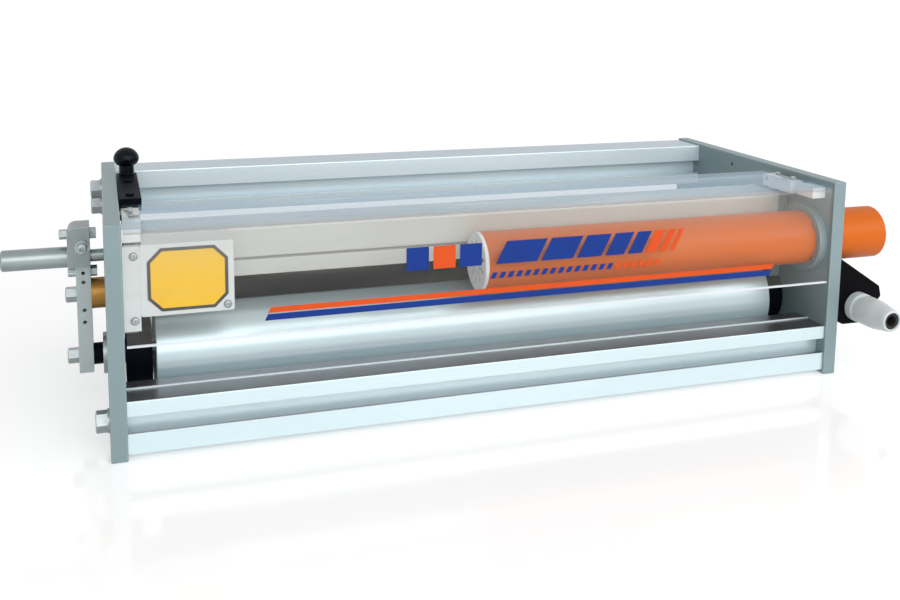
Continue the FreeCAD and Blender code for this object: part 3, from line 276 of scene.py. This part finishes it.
def stand(solid, before, centre, way):
    """Moves the vertices made since a count on to a centre point, their +Z along a direction."""
    solid.verts.ensure_lookup_table()
    turn = Vector((0, 0, 1)).rotation_difference(Vector(way)).to_matrix().to_4x4()
    bmesh.ops.transform(solid, matrix=Matrix.Translation(centre) @ turn, verts=solid.verts[before:])


CROWN_RUN, DISH_RIM, DISH_SLOPE, DISH_DEPTH = 1.6, 0.12, 1 / 2, 1 / 3


def hex_head(solid, centre, way, across_flats, height, chamfer=1.2 * MM):
    """A chamfered hex head with a dished top, standing on a centre point along a direction."""
    before = len(solid.verts)
    ring = bmesh.ops.create_circle(solid, cap_ends=True, segments=6, radius=across_flats / math.sqrt(3))
    crown = drawn_out(solid, ring["verts"][0].link_faces[0], (0, 0, height - chamfer))
    bmesh.ops.inset_individual(solid, faces=[crown], thickness=chamfer * CROWN_RUN, depth=chamfer)
    bmesh.ops.inset_individual(solid, faces=[crown], thickness=across_flats * DISH_RIM)
    bmesh.ops.inset_individual(solid, faces=[crown], thickness=chamfer * DISH_SLOPE,
                               depth=-chamfer * DISH_DEPTH)
    stand(solid, before, centre, way)


front_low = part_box("front_rail")[0]
back_low, back_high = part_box("back_rail")
washer_low, washer_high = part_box("rail_washers")
PORT_BACK, PORT_LOW, PORT_HIGH = 37 * MM, 32 * MM, 57 * MM
BOLT_FLATS, BOLT_HEIGHT = 24 * MM, 14 * MM
bolt_places = [(front_low.y + PORT_BACK, front_low.z + PORT_LOW),
               (back_low.y + PORT_BACK, back_high.z - PORT_LOW),
               (back_low.y + PORT_BACK, back_high.z - PORT_HIGH)]
bolt_heads = bmesh.new()
for side, x in ((-1, washer_low.x), (1, washer_high.x)):
    for y, z in bolt_places:
        hex_head(bolt_heads, (x, y, z), (side, 0, 0), BOLT_FLATS, BOLT_HEIGHT)
rail_bolt_heads = settle("rail_bolt_heads", bolt_heads, zinc, "frame")
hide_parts("rail_bolts")


# The roller is a steel tube, ground and chromed to a satin polish. Turned
# aluminium caps hold sealed bearings on the shaft, which is flanged to the plates.

def chrome_recipe(wire):
    film = cloud(wire, 7.0, 3.0)
    polish = cloud(wire, 24.0, 1.0, stretch=(1.0, 0.1, 0.1))
    return {"Base Color": between(wire, film, colour("bbced3"), colour("c9dade")),
            "Metallic": 0.42, "Roughness": 0.24 + film * 0.06 + polish * 0.04,
            "Normal": rounded(wire, 0.0006)}


def steel_recipe(wire):
    grinding = cloud(wire, 1200.0, 2.0, stretch=(1.0, 0.08, 0.08))
    tarnish = cloud(wire, 30.0, 4.0)
    body = between(wire, tarnish, colour("7a8484"), colour("9ca7a7"))
    return {"Base Color": between(wire, edge_wear_and_highlight(wire, 0.0006), body, colour("d9dcdc")),
            "Metallic": 0.85, "Roughness": 0.3 + grinding * 0.14,
            "Normal": relief(wire, grinding, 0.12)}


chrome = finish("chrome", chrome_recipe)
ground_steel = finish("ground_steel", steel_recipe)
dress(chrome, "roller_shell")
dress(ground_steel, "roller_shaft", "roller_bearing_left", "roller_bearing_right")
# The caps take the back rail's finish, whose upward faces are painted darker as shade.
dress(rail_anodised, "roller_end_cap_left", "roller_end_cap_right")
dress(zinc, "shaft_flanges")


# The electrode carriage hangs on the roller's shaft: grey end arms with black
# hubs, and between them a light-grey extruded housing that hides three dark
# blades in white insulators just above the roller.

housing_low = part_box("electrode_housing")[0]
GROOVE_UP, GROOVE_WIDTH, GROOVE_SHADE_SPREAD, GROOVE_SHADE_DEPTH = 21 * MM, 3 * MM, 0.6 * MM, 2 * MM


def axis(wire, number):
    """The distance along X, Y or Z, numbered 0, 1 and 2, in metres."""
    return wire.node("SeparateXYZ", {0: along(wire)}, output=number)


def housing_recipe(wire):
    die_lines = cloud(wire, 700.0, 2.0, stretch=(0.005, 1.0, 1.0))
    drift = cloud(wire, 4.0, 2.0)
    height = axis(wire, 2)
    depth = axis(wire, 1)
    # A dark line is painted along the front groove, as the shade inside it.
    groove_shade_low = housing_low.z + GROOVE_UP - GROOVE_SHADE_SPREAD
    groove_shade = (wire.maths("GREATER_THAN", height, groove_shade_low)
             * wire.maths("LESS_THAN", height, groove_shade_low + GROOVE_WIDTH + 2 * GROOVE_SHADE_SPREAD)
             * wire.maths("LESS_THAN", depth, housing_low.y + GROOVE_SHADE_DEPTH))
    body = between(wire, drift, colour("c6cac5"), colour("d2d5d1"))
    # The housing's edges are painted near white over a wide radius, a painted highlight along its rounded
    # edges.
    worn_and_highlit = between(wire, edge_wear_and_highlight(wire, 0.003, 14.0), body, colour("f0f2ee"))
    return {"Base Color": between(wire, groove_shade * 0.8, worn_and_highlit, colour("7f827e")),
            "Metallic": 0.1, "Roughness": 0.34 + drift * 0.08,
            "Normal": relief(wire, die_lines, 0.1, edge=0.003)}


def black_recipe(wire):
    grain = cloud(wire, 900.0, 3.0)
    dust = cloud(wire, 18.0, 4.0)
    body = between(wire, dust, colour("03070e"), colour("0a1018"))
    return {"Base Color": between(wire, edge_wear_and_highlight(wire, 0.0008, 4.0), body, colour("2c333b")),
            "Roughness": 0.45 + dust * 0.16, "Specular IOR Level": 0.04,
            "Normal": relief(wire, grain, 0.2)}


def white_recipe(wire):
    sawn = cloud(wire, 500.0, 3.0, stretch=(1.0, 0.2, 0.2))
    dust = cloud(wire, 25.0, 4.0)
    return {"Base Color": between(wire, dust, colour("e8ecec"), colour("f4f6f6")),
            "Roughness": 0.5 + sawn * 0.1, "Normal": relief(wire, sawn, 0.15, edge=0.0008)}


def brass_recipe(wire):
    turning = cloud(wire, 1600.0, 1.0, stretch=(1.0, 0.03, 0.03))
    tarnish = cloud(wire, 40.0, 4.0)
    body = between(wire, tarnish, colour("8c6630"), colour("ae8344"))
    return {"Base Color": body, "Metallic": 0.85, "Roughness": 0.34 + tarnish * 0.16,
            "Normal": relief(wire, turning, 0.15, distance=0.0001)}


housing_paint = finish("housing_paint", housing_recipe)
black_satin = finish("black_satin", black_recipe)
white_plastic = finish("white_plastic", white_recipe)
brass = finish("brass", brass_recipe)
dress(housing_paint, "electrode_housing", "housing_end_plate_left", "housing_end_plate_right")
dress(plate_paint, "electrode_arm_left", "electrode_arm_right")
dress(black_satin, "arm_hub_left", "arm_hub_right", "electrode_blades")
dress(white_plastic, "electrode_insulators")
dress(brass, "arm_bushes")
dress(ground_steel, "carriage_shaft")


# The lever outside the left plate swings the carriage clear: a drawn bar with
# a milled clamp block on top, a ground handle rod, knurled cap screws, and a
# brass slide bush and a black spacer behind it.

def milled_recipe(wire):
    cutter = cloud(wire, 650.0, 2.0, stretch=(1.0, 1.0, 0.05))
    stain = cloud(wire, 26.0, 4.0)
    body = between(wire, stain, colour("76807f"), colour("929c9b"))
    return {"Base Color": between(wire, edge_wear_and_highlight(wire, 0.0009), body, colour("d3d8d7")),
            "Metallic": 0.6, "Roughness": 0.34 + cutter * 0.12,
            "Normal": relief(wire, cutter, 0.15)}


def bar_recipe(wire):
    drawn = cloud(wire, 800.0, 2.0, stretch=(1.0, 1.0, 0.02))
    stain = cloud(wire, 18.0, 4.0)
    body = between(wire, stain, colour("a3b0b0"), colour("bcc7c6"))
    return {"Base Color": between(wire, edge_wear_and_highlight(wire, 0.0009), body, colour("d6dddc")),
            "Metallic": 0.35, "Roughness": 0.38 + drawn * 0.12,
            "Normal": relief(wire, drawn, 0.12)}


milled_steel = finish("milled_steel", milled_recipe)
drawn_bar = finish("drawn_bar", bar_recipe)
dress(milled_steel, "clamp_block")
dress(ground_steel, "handle_rod")
dress(drawn_bar, "lever_bar")
dress(zinc, "lever_nuts", "clamp_ring")
dress(brass, "brass_bush")
dress(black_satin, "pivot_spacer")


KNURL_FOOT, WELL_SHARE, PLAIN_STEPS = 0.95, 0.55, 36
KNURLED_SHOULDER, DOMED_SHOULDER = 0.9, 0.35
RIM_STEPS = ((0.04, 0.5), (0.07, 0.32), (0.09, 0.18))


def socket_head(solid, centre, way, diameter, height, socket, teeth=0):
    """A screw's head with its foot at a centre point, a hex socket, and a knurled or a domed side."""
    before = len(solid.verts)
    steps = 2 * teeth or PLAIN_STEPS
    ring = bmesh.ops.create_circle(solid, cap_ends=True, segments=steps, radius=diameter / 2)["verts"]
    if teeth:
        for vert in ring[::2]:
            vert.co *= KNURL_FOOT
    shoulder = height * (KNURLED_SHOULDER if teeth else DOMED_SHOULDER)
    crown = drawn_out(solid, ring[0].link_faces[0], (0, 0, shoulder))
    rest = height - shoulder
    for share_in, share_up in RIM_STEPS:
        bmesh.ops.inset_individual(solid, faces=[crown], thickness=diameter * share_in,
                                   depth=rest * share_up)
    top = crown.calc_center_median().z
    rim = list(crown.edges)
    bmesh.ops.delete(solid, geom=[crown], context="FACES_ONLY")
    mouth = bmesh.ops.create_circle(solid, cap_ends=False, segments=6,
                                    radius=socket / math.sqrt(3))["verts"]
    bmesh.ops.translate(solid, verts=mouth, vec=(0, 0, top))
    mouth_edges = list(dict.fromkeys(edge for vert in mouth for edge in vert.link_edges))
    well = bmesh.ops.extrude_edge_only(solid, edges=mouth_edges)["geom"]
    bottom = [item for item in well if isinstance(item, bmesh.types.BMVert)]
    bmesh.ops.translate(solid, verts=bottom, vec=(0, 0, -height * WELL_SHARE))
    bmesh.ops.contextual_create(solid, geom=bottom)
    bmesh.ops.bridge_loops(solid, edges=rim + mouth_edges)
    stand(solid, before, centre, way)


bar_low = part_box("lever_bar")[0]
clamp_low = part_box("clamp_block")[0]
screw_low, screw_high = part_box("lever_cap_screws")
pinch_low, pinch_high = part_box("clamp_screw")
HEAD_D, HEAD_H, HEAD_SOCKET, HEAD_TEETH = 13 * MM, 10 * MM, 6 * MM, 24
middle_y = (screw_low.y + screw_high.y) / 2
screws = bmesh.new()
for foot_x, z in ((clamp_low.x, screw_high.z - HEAD_D / 2), (bar_low.x, screw_low.z + HEAD_D / 2)):
    socket_head(screws, (foot_x, middle_y, z), (-1, 0, 0), HEAD_D, HEAD_H, HEAD_SOCKET, HEAD_TEETH)
lever_heads = settle("lever_heads", screws, zinc, "carriage")
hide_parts("lever_cap_screws")
pinch = bmesh.new()
pinch_foot = ((pinch_low.x + pinch_high.x) / 2, pinch_low.y + HEAD_H, (pinch_low.z + pinch_high.z) / 2)
socket_head(pinch, pinch_foot, (0, -1, 0), HEAD_D, HEAD_H, HEAD_SOCKET, HEAD_TEETH)
pinch_head = settle("pinch_head", pinch, zinc, "carriage")
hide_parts("clamp_screw")
LEVER_HEX = 18 * MM
bush_low, bush_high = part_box("bush_bolt")
bush = bmesh.new()
hex_head(bush, (bar_low.x, (bush_low.y + bush_high.y) / 2, (bush_low.z + bush_high.z) / 2), (-1, 0, 0),
         LEVER_HEX, bar_low.x - bush_low.x)
bush_head = settle("bush_head", bush, zinc, "carriage")
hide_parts("bush_bolt")


# Two zinc-plated hex bolts close the ends of the roller's shaft: the left one
# outside the lever, which turns under it, and the right one on the flange.

end_low, end_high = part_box("shaft_end_bolts")
flange_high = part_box("shaft_flanges")[1]
ends = bmesh.new()
hex_head(ends, (bar_low.x, 0, 0), (-1, 0, 0), LEVER_HEX, bar_low.x - end_low.x)
hex_head(ends, (flange_high.x, 0, 0), (1, 0, 0), LEVER_HEX, end_high.x - flange_high.x)
end_heads = settle("end_heads", ends, zinc, "frame")
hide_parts("shaft_end_bolts")


# The exhaust pipe is orange plastic pipe with a faint run of scuffs along it,
# held to the right plate by a grey collar and closed inside by a white disc.

def orange_recipe(wire):
    scuffs = cloud(wire, 300.0, 4.0, stretch=(0.03, 1.0, 1.0))
    drift = cloud(wire, 4.0, 2.0)
    body = between(wire, drift, colour("cf600c"), colour("da6b11"))
    return {"Base Color": between(wire, steep(wire, scuffs, 0.66, 0.86), body, colour("d97a40")),
            "Roughness": 0.36 + scuffs * 0.14, "Specular IOR Level": 0.25,
            "Normal": relief(wire, scuffs, 0.1)}


orange_plastic = finish("orange_plastic", orange_recipe)
dress(orange_plastic, "exhaust_pipe")
dress(plate_paint, "pipe_collar")
dress(zinc, "collar_screws")
dress(white_plastic, "intake_grille")


# The cover is one sheet of clear polycarbonate, bent along the top front edge, with fine
# wiping marks. Its lit film is partly painted reflection: it grows towards the top of the
# front and at a glance, turns blue on the top sheet and in the streaks there, draws a dull
# line along the bend, and paints a highlight along the cut bottom edge. White lugs screwed
# under its rear corners turn on steel pins, and two white rests stop it in front.

cover_low, cover_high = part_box("cover_sheet")
backing_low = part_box("cover_lug_right")[0]
CUT_EDGE, REFLECTION_FOOT, REFLECTION_HEAD = 2 * MM, 45 * MM, 12 * MM
SHEET_TINT = (0.985, 0.985, 0.982, 1.0)


def cover_shader():
    """Clear sheet mixed with a thin hazy film that is partly painted reflection: stronger at a glance,
    towards the top of the front, on the top sheet and on the bend, with a painted highlight on the cut
    edge and less over the lugs.
    """
    made = bpy.data.materials.new("clear_sheet")
    made.use_nodes = True
    made.node_tree.nodes.clear()
    wire = Wire(made.node_tree)
    wipes = cloud(wire, 55.0, 5.0, stretch=(0.08, 1.0, 1.0))
    streaks = steep(wire, wipes, 0.5, 0.78)
    glance = steep(wire, wire.node("LayerWeight", {"Blend": 0.5}, output=1), 0.55, 0.97)
    height = axis(wire, 2)
    # The cut bottom edge carries a painted highlight.
    cut_edge = wire.maths("LESS_THAN", height, cover_low.z + CUT_EDGE)
    # Painted reflection: the lit film grows from low on the front towards the top.
    reflection_rise = wire.node("MapRange", {0: height, 1: cover_low.z + REFLECTION_FOOT, 2: cover_high.z - REFLECTION_HEAD},
                      interpolation_type="SMOOTHSTEP")
    rise = slope(wire)
    upward = steep(wire, rise, 0.5, 0.9)
    # Painted reflection: a dull grey line along the bend.
    bend = steep(wire, rise, 0.15, 0.35) * (1.0 - steep(wire, rise, 0.55, 0.8))
    across = axis(wire, 0)
    # Over the lugs the painted film is cut back, so that they show whiter through the sheet.
    backed = (wire.maths("GREATER_THAN", across * across, backing_low.x * backing_low.x)
              * wire.maths("GREATER_THAN", axis(wire, 1), backing_low.y))
    unseen = wire.node("LightPath", output=1) + wire.node("LightPath", output=2)
    # Painted reflection: the film grows at a glance over the whole sheet, and more on the top sheet.
    top_reflection = upward * glance
    over_all = 0.04 + reflection_rise * 0.08 + glance * 0.2 + top_reflection * 0.16
    # The wiping marks add a little haze; on the top sheet they carry painted reflection.
    in_streaks = streaks * (0.05 + top_reflection * 0.34)
    # How much lit film is mixed over the clear sheet: a little real haze, the rest painted reflection and
    # highlight.
    haze_and_reflection = wire.node("Clamp", {"Value": over_all + in_streaks + bend * 0.3 + cut_edge * 0.7})
    # The film is pale grey on the front and blue on the top sheet, where the blue is a painted
    # reflection.
    film = between(wire, upward, colour("bfbdb8"), colour("72aed2"))
    film = between(wire, bend, film, colour("8d8a8e"))
    # Painted highlight: the cut edge and the streaks on the top sheet are painted near white.
    bright = wire.node("Clamp", {"Value": cut_edge + streaks * upward * 0.8})
    sheet = wire.node("BsdfPrincipled", {"Base Color": between(wire, bright, film, colour("eaf0f6")),
                                         "Roughness": 0.08 + wipes * 0.06})
    clear = wire.node("BsdfTransparent", {"Color": SHEET_TINT})
    share = haze_and_reflection * (1.0 - unseen * 0.9) * (1.0 - backed * 0.8)
    surface = wire.node("MixShader", {0: share, 1: clear, 2: sheet})
    wire.node("OutputMaterial", {"Surface": surface})
    return made


dress(cover_shader(), "cover_sheet")
dress(white_plastic, "cover_lug_left", "cover_lug_right", "cover_rests")
dress(ground_steel, "hinge_pins")
lug_low, lug_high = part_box("cover_lug_screws")
LUG_HEAD, LUG_SOCKET = 9 * MM, 3 * MM
lug_bm = bmesh.new()
for x in (lug_low.x + LUG_HEAD / 2, lug_high.x - LUG_HEAD / 2):
    for y in (lug_low.y + LUG_HEAD / 2, lug_high.y - LUG_HEAD / 2):
        socket_head(lug_bm, (x, y, cover_high.z), (0, 0, 1), LUG_HEAD, lug_high.z - cover_high.z,
                    LUG_SOCKET)
lug_heads = settle("lug_heads", lug_bm, zinc, "cover")
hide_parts("cover_lug_screws")


# The film on the cover's front is a plain ornament in orange and blue: a
# long two-colour line with mitred ends, three squares, slanted bars that
# narrow to the right, and a row of small slanted ticks.

def vinyl_recipe(dark, light):
    def recipe(wire):
        drift = cloud(wire, 30.0, 3.0)
        return {"Base Color": between(wire, drift, colour(dark), colour(light)),
                "Roughness": 0.36 + drift * 0.1, "Specular IOR Level": 0.2,
                "Normal": relief(wire, drift, 0.05)}
    return recipe


def decal(solid, corners, front, thickness=0.25 * MM):
    """A flat shape of (x, z) corners in mm, laid on a front face."""
    ring = [solid.verts.new((x * MM, front, z * MM)) for x, z in corners]
    drawn_out(solid, solid.faces.new(ring), (0, -thickness, 0))


def slanted(x0, x1, z0, z1, lean=0.5):
    """A bar whose ends lean to the right."""
    shift = (z1 - z0) * lean
    return [(x0, z0), (x1, z0), (x1 + shift, z1), (x0 + shift, z1)]


orange_film = finish("orange_film", vinyl_recipe("d84c16", "e25820"))
blue_film = finish("blue_film", vinyl_recipe("0c3080", "123a8e"))
FILM_GAP = 0.05 * MM
sheet_front = cover_low.y - FILM_GAP
BARS_LOW, BARS_HIGH, BARS_START, BARS_GAP = 122, 152, -28.0, 6.0
BAR_WIDTHS = (58, 46, 36, 28, 21, 15, 10, 7)
SQUARE, SQUARES, SQUARES_START, SQUARES_STEP = 30, 3, -150, 36
TICK, TICKS, TICKS_START, TICKS_STEP, TICKS_LOW, TICKS_HIGH = 7, 21, -36, 12, 103, 111
LINE_LEFT, LINE_RIGHT, LINE_STEP = -330, 392, 4
UPPER_LINE, LOWER_LINE = (83, 90), (73.5, 81.5)
ORANGE_BARS, ORANGE_TICKS = 3, 6
bars = []
bar_left = BARS_START
for width in BAR_WIDTHS:
    bars.append(slanted(bar_left, bar_left + width, BARS_LOW, BARS_HIGH))
    bar_left += width + BARS_GAP
ticks = []
for step in range(TICKS):
    tick_left = TICKS_START + step * TICKS_STEP
    ticks.append(slanted(tick_left, tick_left + TICK, TICKS_LOW, TICKS_HIGH))
squares = []
for step in range(SQUARES):
    square_left = SQUARES_START + step * SQUARES_STEP
    squares.append(slanted(square_left, square_left + SQUARE, BARS_LOW, BARS_HIGH, lean=0))
upper_line = slanted(LINE_LEFT + LINE_STEP, LINE_RIGHT + LINE_STEP, *UPPER_LINE)
lower_line = slanted(LINE_LEFT, LINE_RIGHT, *LOWER_LINE)
orange_shapes = [upper_line, squares[1]] + bars[-ORANGE_BARS:] + ticks[-ORANGE_TICKS:]
blue_shapes = [lower_line, squares[0], squares[2]] + bars[:-ORANGE_BARS] + ticks[:-ORANGE_TICKS]
for name, film, shapes in (("orange_ornament", orange_film, orange_shapes),
                           ("blue_ornament", blue_film, blue_shapes)):
    film_bm = bmesh.new()
    for corners in shapes:
        decal(film_bm, corners, sheet_front)
    settle(name, film_bm, film, "cover")


# The sliding latch holds the cover down: a black bar on a guide, pushed into
# the left lug's pocket by a mushroom knob that turns on a steel stud.

def knob_recipe(wire):
    dust = cloud(wire, 60.0, 4.0)
    return {"Base Color": between(wire, dust, colour("03070e"), colour("070e18")),
            "Roughness": 0.24 + dust * 0.14, "Specular IOR Level": 0.12,
            "Normal": relief(wire, dust, 0.05)}


knob_plastic = finish("knob_plastic", knob_recipe)
dress(knob_plastic, "latch_knob")
dress(ground_steel, "knob_stud")
dress(black_satin, "latch_bar", "latch_guide", "latch_guide_screws")


# The white terminal box over the left-hand connections is coated sheet metal,
# held to the plate by a strip with two screws.

def coated_recipe(wire):
    peel = cloud(wire, 500.0, 2.0)
    drift = cloud(wire, 6.0, 2.0)
    return {"Base Color": between(wire, drift, colour("d3dadb"), colour("dfe5e5")),
            "Roughness": 0.3 + drift * 0.08, "Coat Weight": 0.15,
            "Normal": relief(wire, peel, 0.08, edge=0.001)}


coated_white = finish("coated_white", coated_recipe)
dress(coated_white, "terminal_box", "terminal_lid", "mounting_strip")
lid_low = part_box("terminal_lid")[0]
strip_low, strip_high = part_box("strip_screws")
corner_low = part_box("lid_screw")[0]
ROUND_D, ROUND_H, ROUND_SOCKET = 10 * MM, 3 * MM, 3 * MM
strip_bm = bmesh.new()
for z in (strip_low.z + ROUND_D / 2, strip_high.z - ROUND_D / 2):
    socket_head(strip_bm, (strip_low.x + ROUND_D / 2, lid_low.y, z), (0, -1, 0),
                ROUND_D, ROUND_H, ROUND_SOCKET)
strip_heads = settle("strip_heads", strip_bm, zinc, "frame")
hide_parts("strip_screws")
corner_bm = bmesh.new()
socket_head(corner_bm, (corner_low.x + ROUND_D / 2, lid_low.y, corner_low.z + ROUND_D / 2), (0, -1, 0),
            ROUND_D, ROUND_H, ROUND_SOCKET)
lid_head = settle("lid_head", corner_bm, zinc, "frame")
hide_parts("lid_screw")


# A bare yellow plate with a dark-grey border and cut corners is stuck on the
# terminal box's lid.

def octagon(x0, x1, z0, z1, cut):
    """A box with its corners cut off."""
    return [(x0 + cut, z0), (x1 - cut, z0), (x1, z0 + cut), (x1, z1 - cut),
            (x1 - cut, z1), (x0 + cut, z1), (x0, z1 - cut), (x0, z0 + cut)]


border_film = finish("border_film", vinyl_recipe("3c3b39", "4b4a47"))
yellow_film = finish("yellow_film", vinyl_recipe("f7bf12", "fbcd22"))
PANEL_LEFT, PANEL_RIGHT, PANEL_LOW, PANEL_HIGH = -467, -372, 93, 171
PANEL_CUT, CUT_NARROWING = 16, 0.6
BORDER_WIDTH, BORDER_LIFT, FIELD_LIFT = 4.0, 0.1, 0.4
for name, film, inset, lift in (("panel_border", border_film, 0.0, BORDER_LIFT),
                                ("panel_field", yellow_film, BORDER_WIDTH, FIELD_LIFT)):
    shape = octagon(PANEL_LEFT + inset, PANEL_RIGHT - inset, PANEL_LOW + inset, PANEL_HIGH - inset,
                    PANEL_CUT - inset * CUT_NARROWING)
    panel_bm = bmesh.new()
    decal(panel_bm, shape, lid_low.y - lift * MM)
    settle(name, panel_bm, film, "frame")


# The high-voltage inlet is a black moulded box with a pale plastic cable
# gland: a body, a turned cap nut and a rubber insert with an open bore.

def moulded_recipe(wire):
    grain = cloud(wire, 1600.0, 3.0)
    return {"Base Color": between(wire, grain, colour("040406"), colour("0a0a0d")),
            "Roughness": 0.5 + grain * 0.1, "Specular IOR Level": 0.05,
            "Normal": relief(wire, grain, 0.3, edge=0.001)}


def gland_recipe(wire):
    grain = cloud(wire, 900.0, 2.0)
    drift = cloud(wire, 30.0, 3.0)
    return {"Base Color": between(wire, drift, colour("c6d0d2"), colour("d8e0e1")),
            "Roughness": 0.34 + grain * 0.06, "Normal": relief(wire, grain, 0.08, edge=0.0012)}


def rubber_recipe(wire):
    grain = cloud(wire, 1200.0, 3.0)
    return {"Base Color": between(wire, grain, colour("141414"), colour("242424")),
            "Roughness": 0.75, "Normal": relief(wire, grain, 0.25)}


moulded_black = finish("moulded_black", moulded_recipe)
gland_plastic = finish("gland_plastic", gland_recipe)
rubber = finish("rubber", rubber_recipe)
dress(moulded_black, "inlet_box")
dress(gland_plastic, "gland_body")
nut_low, nut_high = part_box("gland_nut")
nut_x, nut_z = (nut_low.x + nut_high.x) / 2, (nut_low.z + nut_high.z) / 2
NUT_PROFILE = ((12.05, 0), (20.6, 0), (21.5, 1.2), (21.5, 20), (21.3, 24), (20.6, 29), (19.4, 35),
               (18.0, 42), (16.9, 49), (16.2, 53.4), (15.3, 55.2), (14.0, 56), (13.0, 56),
               (12.3, 55.4), (12.05, 54.4))
NUT_FACETS = 72


def soften(made, degrees=30.0):
    """Smooth shading, with the sharp edges kept."""
    mesh = made.data
    mesh.polygons.foreach_set("use_smooth", [True] * len(mesh.polygons))
    mesh.set_sharp_from_angle(angle=math.radians(degrees))


nut_bm = bmesh.new()
outline = [nut_bm.verts.new((radius * MM, 0, length * MM)) for radius, length in NUT_PROFILE]
edges = [nut_bm.edges.new(pair) for pair in zip(outline, outline[1:] + outline[:1])]
bmesh.ops.spin(nut_bm, geom=outline + edges, cent=(0, 0, 0), axis=(0, 0, 1), steps=NUT_FACETS,
               angle=2 * math.pi, use_merge=True)
stand(nut_bm, 0, (nut_x, nut_high.y, nut_z), (0, -1, 0))
smooth_nut = settle("smooth_nut", nut_bm, gland_plastic, "frame")
soften(smooth_nut)
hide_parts("gland_nut")
dress(rubber, "gland_seal")


# A pale floor, a white surround, two soft lamps and the camera, which stands
# to the left of the machine's front and looks slightly down.

FLOOR_DROP, FLOOR_HALF = 0.3 * MM, 60.0
floor_bm = bmesh.new()
bmesh.ops.create_grid(floor_bm, x_segments=1, y_segments=1, size=FLOOR_HALF)
bmesh.ops.translate(floor_bm, verts=floor_bm.verts, vec=(0, 0, cad_box[0][2] - FLOOR_DROP))
floor_mesh = bpy.data.meshes.new("floor")
floor_bm.to_mesh(floor_mesh)
floor_bm.free()
floor = bpy.data.objects.new("floor", floor_mesh)
bpy.context.scene.collection.objects.link(floor)

floor_finish = bpy.data.materials.new("floor_finish")
floor_finish.use_nodes = True
floor_finish.node_tree.nodes.clear()
floor_wire = Wire(floor_finish.node_tree)
BLACK, WHITE = (0.0, 0.0, 0.0, 1.0), (1.0, 1.0, 1.0, 1.0)
FLOOR_GREY, FLOOR_GLOW = (0.86, 0.86, 0.86, 1.0), 0.36


def shown(wire):
    """1 for what the camera sees, straight, in a mirror or through clear sheet, and 0 for light."""
    straight = wire.node("LightPath", output=0)
    mirrored = wire.node("LightPath", output=3)
    through = wire.node("LightPath", output=6)
    return wire.node("Clamp", {"Value": straight + mirrored + through})


glow = between(floor_wire, shown(floor_wire), BLACK, WHITE)
pale = floor_wire.node("BsdfPrincipled", {"Base Color": FLOOR_GREY, "Roughness": 0.1,
                                          "Specular IOR Level": 0.8, "Emission Color": glow,
                                          "Emission Strength": FLOOR_GLOW})
floor_wire.node("OutputMaterial", {"Surface": pale})
floor_mesh.materials.append(floor_finish)

world = bpy.data.worlds.new("surround")
bpy.context.scene.world = world
world.use_nodes = True
world.node_tree.nodes.clear()
sky_wire = Wire(world.node_tree)
SKY_LIGHT = (0.45, 0.45, 0.45, 1.0)
sky = sky_wire.node("Background", {"Color": between(sky_wire, shown(sky_wire), SKY_LIGHT, WHITE)})
sky_wire.node("OutputWorld", {"Surface": sky})


def lamp(name, spot, target, size, power):
    """A soft rectangular lamp that points at a target."""
    light = bpy.data.lights.new(name, "AREA")
    light.shape = "RECTANGLE"
    light.size, light.size_y = size
    light.energy = power
    made = bpy.data.objects.new(name, light)
    made.location = spot
    made.rotation_euler = (Vector(target) - Vector(spot)).to_track_quat("-Z", "Y").to_euler()
    bpy.context.scene.collection.objects.link(made)


lamp("key", spot=(0.1, -2.9, 1.5), target=(0.0, 0.0, 0.05), size=(3.4, 2.2), power=63.0)
lamp("fill", spot=(2.2, -1.8, 1.2), target=(0.1, 0.0, 0.0), size=(1.6, 1.2), power=14.0)

CAMERA_SPOT = Vector((-0.5118, -1.4132, 0.4949))
CAMERA_YAW, CAMERA_PITCH, CAMERA_ROLL = (math.radians(angle) for angle in (18.32, 8.26, 0.64))
FOCAL_PIXELS, SHIFT_PIXELS, IMAGE_WIDTH = 1062.6, -170.0, 900.0
SENSOR = 36.0
lens = bpy.data.cameras.new("camera")
lens.sensor_width = SENSOR
lens.lens = FOCAL_PIXELS / IMAGE_WIDTH * SENSOR
lens.shift_y = SHIFT_PIXELS / IMAGE_WIDTH
camera = bpy.data.objects.new("camera", lens)
upright = Matrix.Rotation(-CAMERA_YAW, 4, "Z") @ Matrix.Rotation(math.pi / 2 - CAMERA_PITCH, 4, "X")
camera.matrix_world = Matrix.Translation(CAMERA_SPOT) @ upright @ Matrix.Rotation(CAMERA_ROLL, 4, "Z")
bpy.context.scene.collection.objects.link(camera)
bpy.context.scene.camera = camera
bpy.context.scene.view_settings.view_transform = "Standard"
